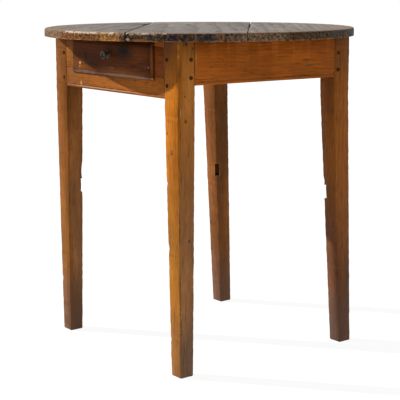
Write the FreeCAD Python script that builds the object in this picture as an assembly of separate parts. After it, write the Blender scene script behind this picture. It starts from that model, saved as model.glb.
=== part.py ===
import FreeCAD, Part
import math
import os

# Old pine tavern table: a round top of three boards on four tapered legs, with one lipped
# drawer under it. Millimetres, +Z up, origin on the floor under the middle of the top.
# The drawer faces -Y, so left is -X and right is +X.

# Overall sizes
table_height = 750.0
top_diameter = 725.0
top_thickness = 19.0
frame_width = 514.0         # over the leg tops, along X
frame_depth = 487.0         # over the leg tops, along Y

# Legs, each tapered on its two inner faces
leg_width = 51.5            # along X
leg_depth = 46.0            # along Y
foot_width = 35.5
foot_depth = 36.0
leg_arris = 2.0             # flat worn on each long edge
plain_below_rail = 10.0     # square leg left below the deepest rail
foot_wear_height = 5.0
foot_wear_inset = 2.0

# The old frame has racked: how far each foot stands off its leg top, towards +X and +Y
left_feet_lean_x = 8.0
right_feet_lean_x = 2.0
front_feet_lean_y = 2.0
rear_feet_lean_y = 18.0

# Empty mortise of a lost cross stretcher, cut into each leg's inner corner
stretcher_mortise_width = 12.0
stretcher_mortise_height = 33.0
stretcher_mortise_depth = 24.0
stretcher_mortise_middle = 364.0

# Aprons, front rail and stiles
side_apron_depth = 93.5
front_apron_depth = 122.5
front_rail_height = 46.0
apron_thickness = 22.0
apron_setback = 1.0         # of the boards' faces behind the legs' faces
bead_diameter = 7.0
bead_quirk = 2.0

# Joints of the frame
tenon_thickness = 8.0
tenon_setback = 8.0
tenon_length = 28.0
tenon_shoulder = 10.0
tenon_clearance = 0.2
peg_radius = 4.2
peg_tip_radius = 3.0
peg_length = 30.0
peg_proud = 0.8
peg_inset = 11.0
peg_margin_low = 17.0       # from the low edge of an apron up to its lower peg
peg_margin_high = 38.0      # from the top edge of an apron down to its upper peg
left_stile_peg_drop = 42.5  # from the top of a front leg down to its upper peg
right_stile_peg_drop = 39.0
left_rail_peg_rise = -1.5   # of a front leg's lower peg, above the middle of the rail
right_rail_peg_rise = 5.5
peg_clearance = 0.1

# Flat rail over the drawer, dovetailed into the front leg tops
top_rail_thickness = 12.0
top_rail_width = 44.0
tail_shoulder = 10.0
tail_root_width = 24.0
tail_flare = 4.0
tail_length = 28.0

# Table top
seam_azimuth = 51.0         # of the boards' length, turned from +Y towards -X
left_seam_offset = -139.0   # from the middle of the top, square to the seams
right_seam_offset = 118.0
left_seam_gap = 2.4
right_seam_gap = 1.0
rim_chamfer = 2.5           # worn off the upper edge
tongue_thickness = 6.0
tongue_width = 20.0
tongue_setback = 14.0
tongue_clearance = 0.3
top_nail_spread = 130.0     # from the middle of a rail to each of its two nails
top_nail_length = 48.0

# Drawer opening and the strips that carry the drawer
opening_width = 312.0
runner_width = 40.0
runner_height = 14.0
runner_inside = 20.0        # how far a runner reaches in under the drawer
guide_width = 14.0
guide_height = 14.0
kicker_width = 24.0
housing_depth = 6.0
housing_clearance = 0.15
guide_nail_length = 22.0
guide_nail_count = 3

# Drawer
drawer_side_gap = 1.0
drawer_top_gap = 1.5
drawer_running_gap = 0.3
drawer_rear_gap = 26.0
front_block = 13.0          # of the drawer front, behind its lip
lip_thickness = 9.0
lip_overlap_side = 14.0
lip_overlap_low = 10.0
lip_overlap_high = 8.0
lip_bevel_width = 9.0
lip_bevel_depth = 6.0
lip_rabbet = 3.0
side_thickness = 13.0
back_thickness = 12.0
back_inset = 14.0
back_below_sides = 6.0
back_housing = 4.0
bottom_thickness = 8.0
bottom_edge = 5.0
bottom_bevel = 26.0
groove_depth = 5.0
groove_height = 6.0         # of the groove above the lower edge of the drawer's sides
groove_clearance = 0.25
board_fit = 0.1

# Drawer nails: height of each head above the drawer's lower edge
left_nail_heights = (6.5, 16.5)
right_nail_heights = (17.0,)
side_nail_heights = (25.0, 46.0)
drawer_nail_length = 34.0
side_nail_length = 30.0
bottom_nail_length = 22.0
bottom_nail_count = 3

# Nails of one pattern: an octagonal head on a tapered square shank
nail_head_radius = 3.6
nail_head_thickness = 1.4
nail_shank_radius = 1.7
nail_tip_radius = 0.8
nail_clearance = 0.1

# Turned brass knob with a dished face, a round washer and a square nut
knob_offset = -4.0
knob_rise = 8.0             # above the middle of the drawer front
knob_reach = 13.0
knob_face_radius = 10.0
knob_rim_width = 2.4        # of the ring round the dish, chamfer included
knob_rim_chamfer = 1.0
knob_rim_height = 2.6       # of the outer edge, along the knob's axis
knob_dish_depth = 3.2
knob_dish_floor_radius = 4.0
knob_neck_radius = 4.5
knob_neck_height = 4.0      # of the narrowest place, above the washer
knob_foot_radius = 6.5
knob_foot_height = 1.5
knob_shank_radius = 2.5
knob_shank_beyond_nut = 3.0
knob_hole_clearance = 0.15
washer_radius = 9.0
washer_thickness = 1.2
washer_chamfer = 0.6
nut_width = 11.0
nut_thickness = 4.0

cut_overshoot = 1.0         # how far a cutting tool runs past an open face

# Derived places
underside = table_height - top_thickness
half_width = frame_width / 2.0
half_depth = frame_depth / 2.0
front_rail_bottom = underside - front_apron_depth
front_rail_top = front_rail_bottom + front_rail_height
side_apron_bottom = underside - side_apron_depth
taper_start = min(front_rail_bottom, side_apron_bottom) - plain_below_rail
rail_span_x = half_width - leg_width
rail_span_y = half_depth - leg_depth
opening_half = opening_width / 2.0
opening_top = underside - top_rail_thickness
front_face = apron_setback - half_depth
front_rear_face = front_face + apron_thickness
back_inner_face = half_depth - apron_setback - apron_thickness

Z_AXIS = FreeCAD.Vector(0, 0, 1)
ORIGIN = FreeCAD.Vector(0, 0, 0)


# ---------------------------------------------------------------- shared shapes

def box(x_ends, y_ends, z_ends):
    """Box between two ends along each axis, given in either order."""
    low = FreeCAD.Vector(min(x_ends), min(y_ends), min(z_ends))
    high = FreeCAD.Vector(max(x_ends), max(y_ends), max(z_ends))
    size = high - low
    return Part.makeBox(size.x, size.y, size.z, low)


def prism(points, direction):
    """Solid of a closed polygon pushed along a vector."""
    face = polygon_face([FreeCAD.Vector(*point) for point in points])
    return face.extrude(FreeCAD.Vector(*direction))


def polygon_face(corners):
    """Flat face of a closed polygon."""
    return Part.Face(Part.makePolygon(corners + corners[:1]))


def solid_through(outlines):
    """Solid with flat sides from each outline to the next, closed by the first and last."""
    faces = [polygon_face(outlines[0]), polygon_face(outlines[-1])]
    for lower, upper in zip(outlines, outlines[1:]):
        for index in range(len(lower)):
            after = (index + 1) % len(lower)
            faces.append(polygon_face([lower[index], lower[after], upper[after], upper[index]]))
    return Part.Solid(Part.Shell(faces))


def regular_polygon(corner_count, corner_radius, z):
    """Corners of a level regular polygon round the Z axis."""
    step = 2.0 * math.pi / corner_count
    corners = []
    for index in range(corner_count):
        angle = (index + 0.5) * step
        corners.append(FreeCAD.Vector(
            corner_radius * math.cos(angle), corner_radius * math.sin(angle), z))
    return corners


def chamfered_rectangle(x_ends, y_ends, chamfer, z):
    """Corners of a level rectangle whose own corners are cut off."""
    x0, x1 = sorted(x_ends)
    y0, y1 = sorted(y_ends)
    points = [(x0 + chamfer, y0), (x1 - chamfer, y0), (x1, y0 + chamfer), (x1, y1 - chamfer),
              (x1 - chamfer, y1), (x0 + chamfer, y1), (x0, y1 - chamfer), (x0, y0 + chamfer)]
    return [FreeCAD.Vector(x, y, z) for x, y in points]


def aimed(shape, head, direction):
    """Move a shape that points down -Z from the origin so that it points along direction."""
    turned = shape.copy()
    turn = FreeCAD.Rotation(FreeCAD.Vector(0, 0, -1), FreeCAD.Vector(*direction))
    turned.Placement = FreeCAD.Placement(FreeCAD.Vector(*head), turn).multiply(shape.Placement)
    return turned


def tapered_pin(length, radius, tip_radius, corner_count):
    """Faceted pin from the origin down to its tip, which is narrower."""
    return solid_through([regular_polygon(corner_count, tip_radius, -length),
                          regular_polygon(corner_count, radius, 0.0)])


def wooden_peg():
    """Whittled eight-sided peg, whose head stands proud of the leg."""
    peg = tapered_pin(peg_length + peg_proud, peg_radius, peg_tip_radius, 8)
    return peg.translated(FreeCAD.Vector(0, 0, peg_proud))


def peg_hole():
    """Hole that a peg has cut to its own eight sides."""
    radius = peg_radius + peg_clearance
    depth = peg_length + cut_overshoot + peg_clearance
    hole = tapered_pin(depth, radius, radius, 8)
    return hole.translated(FreeCAD.Vector(0, 0, cut_overshoot))


def nail(length):
    """Cut nail with its head flush with the surface that it is driven into."""
    head = tapered_pin(nail_head_thickness, nail_head_radius, nail_head_radius, 8)
    shank = tapered_pin(length - nail_head_thickness, nail_shank_radius, nail_tip_radius, 4)
    shank = shank.translated(FreeCAD.Vector(0, 0, -nail_head_thickness))
    return head.fuse(shank)


def nail_hole(length):
    """Square hole with a recess for the head, as a driven nail makes."""
    head_radius = nail_head_radius + nail_clearance
    shank_radius = nail_shank_radius + nail_clearance
    recess = tapered_pin(nail_head_thickness + cut_overshoot, head_radius, head_radius, 8)
    depth = length + cut_overshoot + nail_clearance
    shaft = tapered_pin(depth, shank_radius, shank_radius, 4)
    return recess.fuse(shaft).translated(FreeCAD.Vector(0, 0, cut_overshoot))


class Nailing:
    """A set of like nails: their heads' places, one direction and one length."""

    def __init__(self, heads, direction, length):
        self.heads = heads
        self.direction = direction
        self.length = length

    def solids(self):
        """The nails themselves."""
        return [aimed(nail(self.length), head, self.direction) for head in self.heads]

    def holes(self):
        """The holes that they fill."""
        return [aimed(nail_hole(self.length), head, self.direction) for head in self.heads]


# ---------------------------------------------------------------- boards of the frame

class FrameBoard:
    """A board of the frame, tenoned and pegged into the legs.

    It is drawn as a front board: along X, with its outer face on y = 0 and its back on
    +Y. It is then moved out to its face and turned about Z to its side of the table.
    """

    def __init__(self, ends, bottom, top, turn, face_distance, tenoned, beaded, peg_heights):
        """The heights of the pegs are given for each tenoned end in turn."""
        self.ends = ends
        self.bottom = bottom
        self.top = top
        self.turn = turn
        self.face_distance = face_distance
        self.tenoned = tenoned
        self.beaded = beaded
        self.peg_heights = peg_heights

    def placed(self, shape):
        """Move a shape from the board's own frame to the table."""
        moved = shape.translated(FreeCAD.Vector(0, -self.face_distance, 0))
        moved.rotate(ORIGIN, Z_AXIS, self.turn)
        return moved

    def profile(self):
        """Section of the board, with a scratched bead along its lower outer edge."""
        start = self.ends[0]
        radius = bead_diameter / 2.0
        face_low = self.bottom + bead_diameter + bead_quirk
        corners = [FreeCAD.Vector(start, radius, self.bottom),
                   FreeCAD.Vector(start, apron_thickness, self.bottom),
                   FreeCAD.Vector(start, apron_thickness, self.top),
                   FreeCAD.Vector(start, 0, self.top),
                   FreeCAD.Vector(start, 0, face_low),
                   FreeCAD.Vector(start, radius, self.bottom + bead_diameter)]
        nose = FreeCAD.Vector(start, 0, self.bottom + radius)
        edges = Part.makePolygon(corners).Edges
        edges.append(Part.Arc(corners[-1], nose, corners[0]).toShape())
        return Part.Face(Part.Wire(edges))

    def board(self):
        """The board between its shoulders, in its own frame."""
        if self.beaded:
            length = self.ends[1] - self.ends[0]
            return self.profile().extrude(FreeCAD.Vector(length, 0, 0))
        return box(self.ends, (0, apron_thickness), (self.bottom, self.top))

    def tenons(self, clearance):
        """Tenons in the board's own frame, made larger all round by the clearance."""
        low = self.bottom + tenon_shoulder - clearance
        high = self.top - tenon_shoulder + clearance
        near = tenon_setback - clearance
        far = tenon_setback + tenon_thickness + clearance
        tools = []
        for end in self.tenoned:
            reach = math.copysign(tenon_length + clearance, end)
            tools.append(box((end, end + reach), (near, far), (low, high)))
        return tools

    def peg_places(self):
        """Where each peg enters the outer face of a leg, in the board's own frame."""
        places = []
        for end, heights in zip(self.tenoned, self.peg_heights):
            along = end + math.copysign(peg_inset, end)
            places += [(along, -apron_setback, height) for height in heights]
        return places

    def pegs(self):
        """The pegs, in place."""
        return [self.placed(aimed(wooden_peg(), place, (0, 1, 0))) for place in self.peg_places()]

    def peg_holes(self):
        """The peg holes, in place."""
        return [self.placed(aimed(peg_hole(), place, (0, 1, 0))) for place in self.peg_places()]

    def mortises(self):
        """The mortises that the board needs in the legs, in place."""
        return [self.placed(tool) for tool in self.tenons(tenon_clearance)]

    def solid(self):
        """The finished board, in place."""
        whole = self.placed(self.board().fuse(self.tenons(0.0)))
        return whole.cut(self.peg_holes()).removeSplitter()


def apron(turn, span, face_distance):
    """Full apron between two legs, with a bead and two pegs at each end."""
    heights = (side_apron_bottom + peg_margin_low, underside - peg_margin_high)
    return FrameBoard((-span, span), side_apron_bottom, underside, turn,
                      face_distance, (-span, span), True, (heights, heights))


def front_rail_board():
    """Rail below the drawer."""
    ends = (-rail_span_x, rail_span_x)
    middle = (front_rail_bottom + front_rail_top) / 2.0
    heights = ((middle + left_rail_peg_rise,), (middle + right_rail_peg_rise,))
    return FrameBoard(ends, front_rail_bottom, front_rail_top, 0, -front_face, ends, True,
                      heights)


def stile_board(side):
    """Short board between a front leg and the drawer opening; side is -1 or 1."""
    ends = sorted((side * opening_half, side * rail_span_x))
    drop = left_stile_peg_drop if side < 0 else right_stile_peg_drop
    return FrameBoard(ends, front_rail_top, opening_top, 0,
                      -front_face, (side * rail_span_x,), False, ((underside - drop,),))


# ---------------------------------------------------------------- rail over the drawer

def dovetail_tail(side, clearance):
    """Dovetail of the top rail in a front leg, made larger by the clearance."""
    root = side * rail_span_x
    tip = side * (rail_span_x + tail_length + clearance)
    near = front_face + tail_shoulder - clearance
    far = front_face + tail_shoulder + tail_root_width + clearance
    low = opening_top - clearance
    outline = [(root, near, low), (tip, near - tail_flare, low),
               (tip, far + tail_flare, low), (root, far, low)]
    return prism(outline, (0, 0, top_rail_thickness + clearance))


def top_rail_nailing(side):
    """One nail through the side face of a front leg into the rail's dovetail."""
    middle = front_face + tail_shoulder + tail_root_width / 2.0
    head = (side * half_width, middle, opening_top + top_rail_thickness / 2.0)
    return Nailing([head], (-side, 0, 0), top_nail_length)


def top_rail():
    """Thin flat rail that ties the front legs together over the drawer."""
    rail = box((-rail_span_x, rail_span_x), (front_face, front_face + top_rail_width),
               (opening_top, underside))
    return rail.fuse([dovetail_tail(-1, 0.0), dovetail_tail(1, 0.0)]).removeSplitter()


# ---------------------------------------------------------------- legs

def leg_corners(side_x, side_y, z):
    """Outer and inner corner of a leg at one height. It leans and tapers below the rails."""
    share = max(0.0, taper_start - z) / taper_start
    lean_x = left_feet_lean_x if side_x < 0 else right_feet_lean_x
    lean_y = front_feet_lean_y if side_y < 0 else rear_feet_lean_y
    width = leg_width + (foot_width - leg_width) * share
    depth = leg_depth + (foot_depth - leg_depth) * share
    outer_x = side_x * half_width + lean_x * share
    outer_y = side_y * half_depth + lean_y * share
    return (outer_x, outer_y), (outer_x - side_x * width, outer_y - side_y * depth)


def leg_section(side_x, side_y, z, inset):
    """Level outline of a leg, drawn in by the inset on every side."""
    outer, inner = leg_corners(side_x, side_y, z)
    x_ends = (outer[0] - side_x * inset, inner[0] + side_x * inset)
    y_ends = (outer[1] - side_y * inset, inner[1] + side_y * inset)
    return chamfered_rectangle(x_ends, y_ends, leg_arris, z)


def stretcher_mortise(side_x, side_y):
    """Box tool that cuts a leg's inner corner along the frame's diagonal."""
    inner = leg_corners(side_x, side_y, stretcher_mortise_middle)[1]
    half = stretcher_mortise_width / 2.0
    low = stretcher_mortise_middle - stretcher_mortise_height / 2.0
    tool = box((-stretcher_mortise_depth, stretcher_mortise_depth), (-half, half),
               (low, low + stretcher_mortise_height))
    tool.rotate(ORIGIN, Z_AXIS, math.degrees(math.atan2(side_y, side_x)))
    return tool.translated(FreeCAD.Vector(inner[0], inner[1], 0))


def leg(side_x, side_y, tools):
    """One leg with its joints cut; the sides are -1 or 1."""
    sections = [leg_section(side_x, side_y, 0.0, foot_wear_inset),
                leg_section(side_x, side_y, foot_wear_height, 0.0),
                leg_section(side_x, side_y, taper_start, 0.0),
                leg_section(side_x, side_y, underside, 0.0)]
    return solid_through(sections).cut(tools + [stretcher_mortise(side_x, side_y)])


# ---------------------------------------------------------------- table top

def across_top(shape):
    """Turn a shape drawn with its length along Y to the direction of the boards."""
    turned = shape.copy()
    turned.rotate(ORIGIN, Z_AXIS, seam_azimuth)
    return turned


def top_disc():
    """The whole round top with its worn rim, before it is divided."""
    disc = Part.makeCylinder(top_diameter / 2.0, top_thickness, FreeCAD.Vector(0, 0, underside))
    upper = [edge for edge in disc.Edges if edge.BoundBox.ZMin > underside]
    return disc.makeChamfer(rim_chamfer, upper)


def seam_tongue(seam_offset, clearance):
    """Loose tongue along a seam, stopped short of the rim."""
    half = tongue_width / 2.0 + clearance
    thick = tongue_thickness / 2.0 + clearance
    middle = underside + top_thickness / 2.0
    strip = across_top(box((seam_offset - half, seam_offset + half),
                           (-top_diameter, top_diameter), (middle - thick, middle + thick)))
    reach = top_diameter / 2.0 - tongue_setback + clearance
    return strip.common(Part.makeCylinder(reach, table_height))


def top_board(near_edge, far_edge, tools):
    """One board of the top between two edges, measured square to the seams."""
    strip = across_top(box((near_edge, far_edge), (-top_diameter, top_diameter),
                           (underside, table_height)))
    return top_disc().common(strip).cut(tools)


def top_nailing():
    """Two nails down into each apron and into the rail over the drawer."""
    side_line = half_width - apron_setback - apron_thickness / 2.0
    back_line = half_depth - apron_setback - apron_thickness / 2.0
    front_line = front_face + top_rail_width / 2.0
    heads = []
    for spread in (-top_nail_spread, top_nail_spread):
        heads.append((spread, front_line, table_height))
        heads.append((spread, back_line, table_height))
        heads.append((-side_line, spread, table_height))
        heads.append((side_line, spread, table_height))
    return Nailing(heads, (0, 0, -1), top_nail_length)


# ---------------------------------------------------------------- strips that carry the drawer

def strip_between_rails(side, x_from_opening, z_ends, front_end, clearance):
    """Strip from the front of the frame to the back apron, with its ends housed."""
    x_ends = [side * (opening_half + shift) for shift in x_from_opening]
    x_ends = (min(x_ends) - clearance, max(x_ends) + clearance)
    y_ends = (front_end - housing_depth - clearance,
              back_inner_face + housing_depth + clearance)
    return box(x_ends, y_ends, (z_ends[0] - clearance, z_ends[1] + clearance))


def notched_round_legs(strip):
    """Cut away what a strip would share with a leg, when a leg stands in its way."""
    x_near = rail_span_x - housing_clearance
    y_near = rail_span_y - housing_clearance
    blocks = [box((side_x * x_near, side_x * half_width), (side_y * y_near, side_y * half_depth),
                  (0.0, underside)) for side_x in (-1, 1) for side_y in (-1, 1)]
    return strip.cut(blocks)


def runner(side, clearance):
    """Runner that the drawer slides on."""
    return strip_between_rails(side, (-runner_inside, runner_width - runner_inside),
                               (front_rail_top - runner_height, front_rail_top),
                               front_rear_face, clearance)


def kicker(side, clearance):
    """Strip over the drawer's side that stops an open drawer from tipping."""
    return strip_between_rails(side, (-runner_inside, kicker_width - runner_inside),
                               (opening_top, underside),
                               front_face + top_rail_width, clearance)


def guide(side):
    """Strip on the runner that keeps the drawer straight."""
    return box((side * opening_half, side * (opening_half + guide_width)),
               (front_rear_face, back_inner_face),
               (front_rail_top, front_rail_top + guide_height))


def guide_nailing(side):
    """Nails down through a guide into its runner."""
    length = back_inner_face - front_rear_face
    heads = []
    for index in range(guide_nail_count):
        along = front_rear_face + length * (index + 0.5) / guide_nail_count
        heads.append((side * (opening_half + guide_width / 2.0), along,
                      front_rail_top + guide_height))
    return Nailing(heads, (0, 0, -1), guide_nail_length)


# ---------------------------------------------------------------- drawer

drawer_half = opening_half - drawer_side_gap
drawer_low = front_rail_top + drawer_running_gap
drawer_high = opening_top - drawer_top_gap
lip_half = opening_half + lip_overlap_side
closing_face = front_face if lip_half < rail_span_x else -half_depth    # foremost behind the lip
lip_back = closing_face - drawer_running_gap
lip_face = lip_back - lip_thickness
block_back = lip_back + front_block
side_front = lip_back + lip_rabbet
side_rear = back_inner_face - drawer_rear_gap
side_inner = drawer_half - side_thickness
back_rear = side_rear - back_inset
back_front = back_rear - back_thickness
groove_low = drawer_low + groove_height
groove_top = groove_low + bottom_edge
knob_height = (front_rail_top - lip_overlap_low + opening_top + lip_overlap_high) / 2.0 + knob_rise


def lip_outline(inset, y):
    """Corners of the lip's outline, drawn in by the inset, standing at one place along Y."""
    half = lip_half - inset
    low = front_rail_top - lip_overlap_low + inset
    high = opening_top + lip_overlap_high - inset
    return [FreeCAD.Vector(-half, y, low), FreeCAD.Vector(half, y, low),
            FreeCAD.Vector(half, y, high), FreeCAD.Vector(-half, y, high)]


def lip():
    """Plate of the drawer front that laps over the frame, with a bevelled border."""
    bevel_foot = lip_face + lip_bevel_depth
    return solid_through([lip_outline(lip_bevel_width, lip_face),
                          lip_outline(0.0, bevel_foot), lip_outline(0.0, lip_back)])


def bottom_panel(clearance):
    """Drawer bottom, feathered on its underside to fit its grooves on three sides."""
    half = side_inner + groove_depth - groove_clearance + clearance
    front = block_back - groove_depth + groove_clearance - clearance
    top = groove_top + clearance
    edge = groove_low - clearance
    low = groove_top - bottom_thickness - clearance
    across = [(-half, front, edge), (-half + bottom_bevel, front, low),
              (half - bottom_bevel, front, low), (half, front, edge),
              (half, front, top), (-half, front, top)]
    along = [(-half, front, edge), (-half, front + bottom_bevel, low),
             (-half, back_rear, low), (-half, back_rear, top), (-half, front, top)]
    length = back_rear - front
    return prism(across, (0, length, 0)).common(prism(along, (2.0 * half, 0, 0)))


def drawer_front(tools):
    """Lipped front with a rabbet at each end for the drawer's sides."""
    block = box((-drawer_half, drawer_half), (lip_back, block_back), (drawer_low, drawer_high))
    rabbets = []
    for side in (-1, 1):
        rabbets.append(box((side * side_inner, side * (drawer_half + cut_overshoot)),
                           (side_front, block_back + cut_overshoot),
                           (drawer_low - cut_overshoot, drawer_high + cut_overshoot)))
    return lip().fuse(block).removeSplitter().cut(rabbets + tools)


def drawer_side(side, tools):
    """Side board, grooved for the bottom and housed for the back."""
    board = box((side * side_inner, side * drawer_half), (side_front, side_rear),
                (drawer_low, drawer_high))
    return board.cut(tools)


def drawer_back(clearance):
    """Back board, standing on the bottom and let into both sides."""
    half = side_inner + back_housing - board_fit + clearance
    return box((-half, half), (back_front - clearance, back_rear + clearance),
               (groove_top, drawer_high - back_below_sides + clearance))


def drawer_front_nailing():
    """Nails through the lip into the front ends of the sides."""
    across = drawer_half - side_thickness / 2.0
    heads = [(-across, lip_face, drawer_low + height) for height in left_nail_heights]
    heads += [(across, lip_face, drawer_low + height) for height in right_nail_heights]
    return Nailing(heads, (0, 1, 0), drawer_nail_length)


def drawer_side_nailing(side):
    """Nails through one side into the ends of the front block and of the back."""
    block_middle = (side_front + block_back) / 2.0
    back_middle = (back_front + back_rear) / 2.0
    heads = []
    for height in side_nail_heights:
        heads.append((side * drawer_half, block_middle, drawer_low + height))
        heads.append((side * drawer_half, back_middle, drawer_low + height))
    return Nailing(heads, (-side, 0, 0), side_nail_length)


def drawer_bottom_nailing():
    """Nails up through the bottom into the back."""
    middle = (back_front + back_rear) / 2.0
    spacing = 2.0 * side_inner / bottom_nail_count
    heads = []
    for index in range(bottom_nail_count):
        across = spacing * (index + 0.5) - side_inner
        heads.append((across, middle, groove_top - bottom_thickness))
    return Nailing(heads, (0, 0, 1), bottom_nail_length)


# ---------------------------------------------------------------- knob

def turned(profile):
    """Solid turned from pairs of radius and place along the knob's axis.

    Place 0 is the drawer's face, and the knob stands out on the negative side.
    """
    face = polygon_face([FreeCAD.Vector(radius, place, 0) for radius, place in profile])
    solid = face.revolve(ORIGIN, FreeCAD.Vector(0, 1, 0), 360)
    return solid.translated(FreeCAD.Vector(knob_offset, lip_face, knob_height))


def knob():
    """Knob and its shank, turned in one piece, with a dish in its face."""
    seat = -washer_thickness
    face = seat - knob_reach
    dish_floor = face + knob_dish_depth
    shank_end = lip_thickness + front_block + nut_thickness + knob_shank_beyond_nut
    return turned([
        (0, dish_floor), (knob_dish_floor_radius, dish_floor),
        (knob_face_radius - knob_rim_width, face), (knob_face_radius - knob_rim_chamfer, face),
        (knob_face_radius, face + knob_rim_chamfer), (knob_face_radius, face + knob_rim_height),
        (knob_neck_radius, seat - knob_neck_height),
        (knob_foot_radius, seat - knob_foot_height), (knob_foot_radius, seat),
        (knob_shank_radius, seat), (knob_shank_radius, shank_end), (0, shank_end)])


def knob_bore(start, end):
    """Clearance hole round the knob's shank between two places along Y."""
    radius = knob_shank_radius + knob_hole_clearance
    base = FreeCAD.Vector(knob_offset, start, knob_height)
    return Part.makeCylinder(radius, end - start, base, FreeCAD.Vector(0, 1, 0))


def knob_washer():
    """Round washer between the knob and the drawer front."""
    bore = knob_shank_radius + knob_hole_clearance
    return turned([(bore, 0), (washer_radius, 0),
                   (washer_radius - washer_chamfer, -washer_thickness),
                   (bore, -washer_thickness)])


def knob_nut():
    """Square nut on the shank, inside the drawer."""
    half = nut_width / 2.0
    body = box((knob_offset - half, knob_offset + half),
               (block_back, block_back + nut_thickness),
               (knob_height - half, knob_height + half))
    return body.cut(knob_bore(block_back - cut_overshoot,
                              block_back + nut_thickness + cut_overshoot))


# ---------------------------------------------------------------- assembly

def frame_pieces():
    """Legs, aprons, rails, stiles and their pegs."""
    aprons = {"apron_back": apron(180, rail_span_x, half_depth - apron_setback),
              "apron_left": apron(-90, rail_span_y, half_width - apron_setback),
              "apron_right": apron(90, rail_span_y, half_width - apron_setback)}
    rail = front_rail_board()
    stiles = {"front_stile_left": stile_board(-1), "front_stile_right": stile_board(1)}
    boards = list(aprons.values()) + [rail] + list(stiles.values())
    rail_nails = [top_rail_nailing(-1), top_rail_nailing(1)]
    rail_nail_holes = rail_nails[0].holes() + rail_nails[1].holes()
    top_holes = top_nailing().holes()
    housings = [strip(side, housing_clearance) for strip in (runner, kicker) for side in (-1, 1)]

    joints = [dovetail_tail(side, tenon_clearance) for side in (-1, 1)] + rail_nail_holes
    for board in boards:
        joints += board.mortises() + board.peg_holes()

    pieces = {}
    for side_y, end in ((-1, "front"), (1, "back")):
        for side_x, hand in ((-1, "left"), (1, "right")):
            pieces["leg_%s_%s" % (end, hand)] = leg(side_x, side_y, joints)
    for name, board in aprons.items():
        pieces[name] = board.solid().cut(top_holes + housings)
    pieces["front_rail"] = rail.solid().cut(housings)
    for name, board in stiles.items():
        pieces[name] = board.solid()
    pieces["front_top_rail"] = top_rail().cut(top_holes + rail_nail_holes + housings)
    pieces["top_rail_nails"] = rail_nails[0].solids() + rail_nails[1].solids()
    pieces["pegs_back"] = aprons["apron_back"].pegs()
    pieces["pegs_left"] = aprons["apron_left"].pegs()
    pieces["pegs_right"] = aprons["apron_right"].pegs()
    pieces["pegs_front"] = rail.pegs() + stiles["front_stile_left"].pegs()
    pieces["pegs_front"] += stiles["front_stile_right"].pegs()
    return pieces


def top_pieces():
    """Three boards, two loose tongues and the nails that hold the top down."""
    nails = top_nailing()
    grooves = [seam_tongue(left_seam_offset, tongue_clearance),
               seam_tongue(right_seam_offset, tongue_clearance)]
    tools = nails.holes() + grooves
    left_half_gap = left_seam_gap / 2.0
    right_half_gap = right_seam_gap / 2.0
    holes = nails.holes()
    return {
        "top_board_left": top_board(-top_diameter, left_seam_offset - left_half_gap, tools),
        "top_board_middle": top_board(left_seam_offset + left_half_gap,
                                      right_seam_offset - right_half_gap, tools),
        "top_board_right": top_board(right_seam_offset + right_half_gap, top_diameter, tools),
        "top_tongue_left": seam_tongue(left_seam_offset, 0.0).cut(holes),
        "top_tongue_right": seam_tongue(right_seam_offset, 0.0).cut(holes),
        "top_nails": nails.solids(),
    }


def drawer_support_pieces():
    """Runners, guides and kickers, with the nails that hold the guides."""
    pieces = {"guide_nails": []}
    for side, hand in ((-1, "left"), (1, "right")):
        nails = guide_nailing(side)
        pieces["drawer_runner_" + hand] = notched_round_legs(runner(side, 0.0)).cut(nails.holes())
        pieces["drawer_guide_" + hand] = notched_round_legs(guide(side)).cut(nails.holes())
        pieces["drawer_kicker_" + hand] = notched_round_legs(kicker(side, 0.0))
        pieces["guide_nails"] += nails.solids()
    return pieces


def drawer_pieces():
    """The drawer box with its nails and its knob."""
    front_nails = drawer_front_nailing()
    side_nails = {side: drawer_side_nailing(side) for side in (-1, 1)}
    bottom_nails = drawer_bottom_nailing()
    side_holes = side_nails[-1].holes() + side_nails[1].holes()
    panel_groove = bottom_panel(groove_clearance)
    bore = knob_bore(lip_face - cut_overshoot, block_back + cut_overshoot)
    back_groove = drawer_back(board_fit)
    side_tools = [panel_groove, back_groove] + front_nails.holes()
    return {
        "drawer_front": drawer_front([panel_groove, bore] + front_nails.holes() + side_holes),
        "drawer_side_left": drawer_side(-1, side_tools + side_nails[-1].holes()),
        "drawer_side_right": drawer_side(1, side_tools + side_nails[1].holes()),
        "drawer_back": drawer_back(0.0).cut(side_holes + bottom_nails.holes()),
        "drawer_bottom": bottom_panel(0.0).cut(bottom_nails.holes()),
        "drawer_front_nails": front_nails.solids(),
        "drawer_side_nails": side_nails[-1].solids() + side_nails[1].solids(),
        "drawer_bottom_nails": bottom_nails.solids(),
        "drawer_knob": knob(),
        "knob_washer": knob_washer(),
        "knob_nut": knob_nut(),
    }


def export(name, piece):
    """Write one node: a single solid, or a group of like fasteners."""
    shape = Part.makeCompound(piece) if isinstance(piece, list) else piece
    shape.exportStep("parts/%s.step" % name)
    print(name, len(shape.Solids), round(shape.Volume / 1000.0, 2), "cm3", shape.isValid())


os.makedirs("parts", exist_ok=True)
for pieces in (frame_pieces(), top_pieces(), drawer_support_pieces(), drawer_pieces()):
    for name, piece in pieces.items():
        export(name, piece)
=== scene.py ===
"""Looks of an old pine tavern table: a round top on four tapered legs, with one lipped drawer.

The pieces that wear has shaped are modelled again here and stand for their nodes; the others
keep their shape and get a finish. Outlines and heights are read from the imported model, and the
sizes within a piece, such as a tenon's, are named values of its class.
"""

import logging
import math
from contextlib import contextmanager
from dataclasses import dataclass, replace
from enum import Enum
from typing import Callable, Iterator, Sequence

import bmesh
import bpy
import numpy as np
from mathutils import Matrix, Vector


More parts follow.
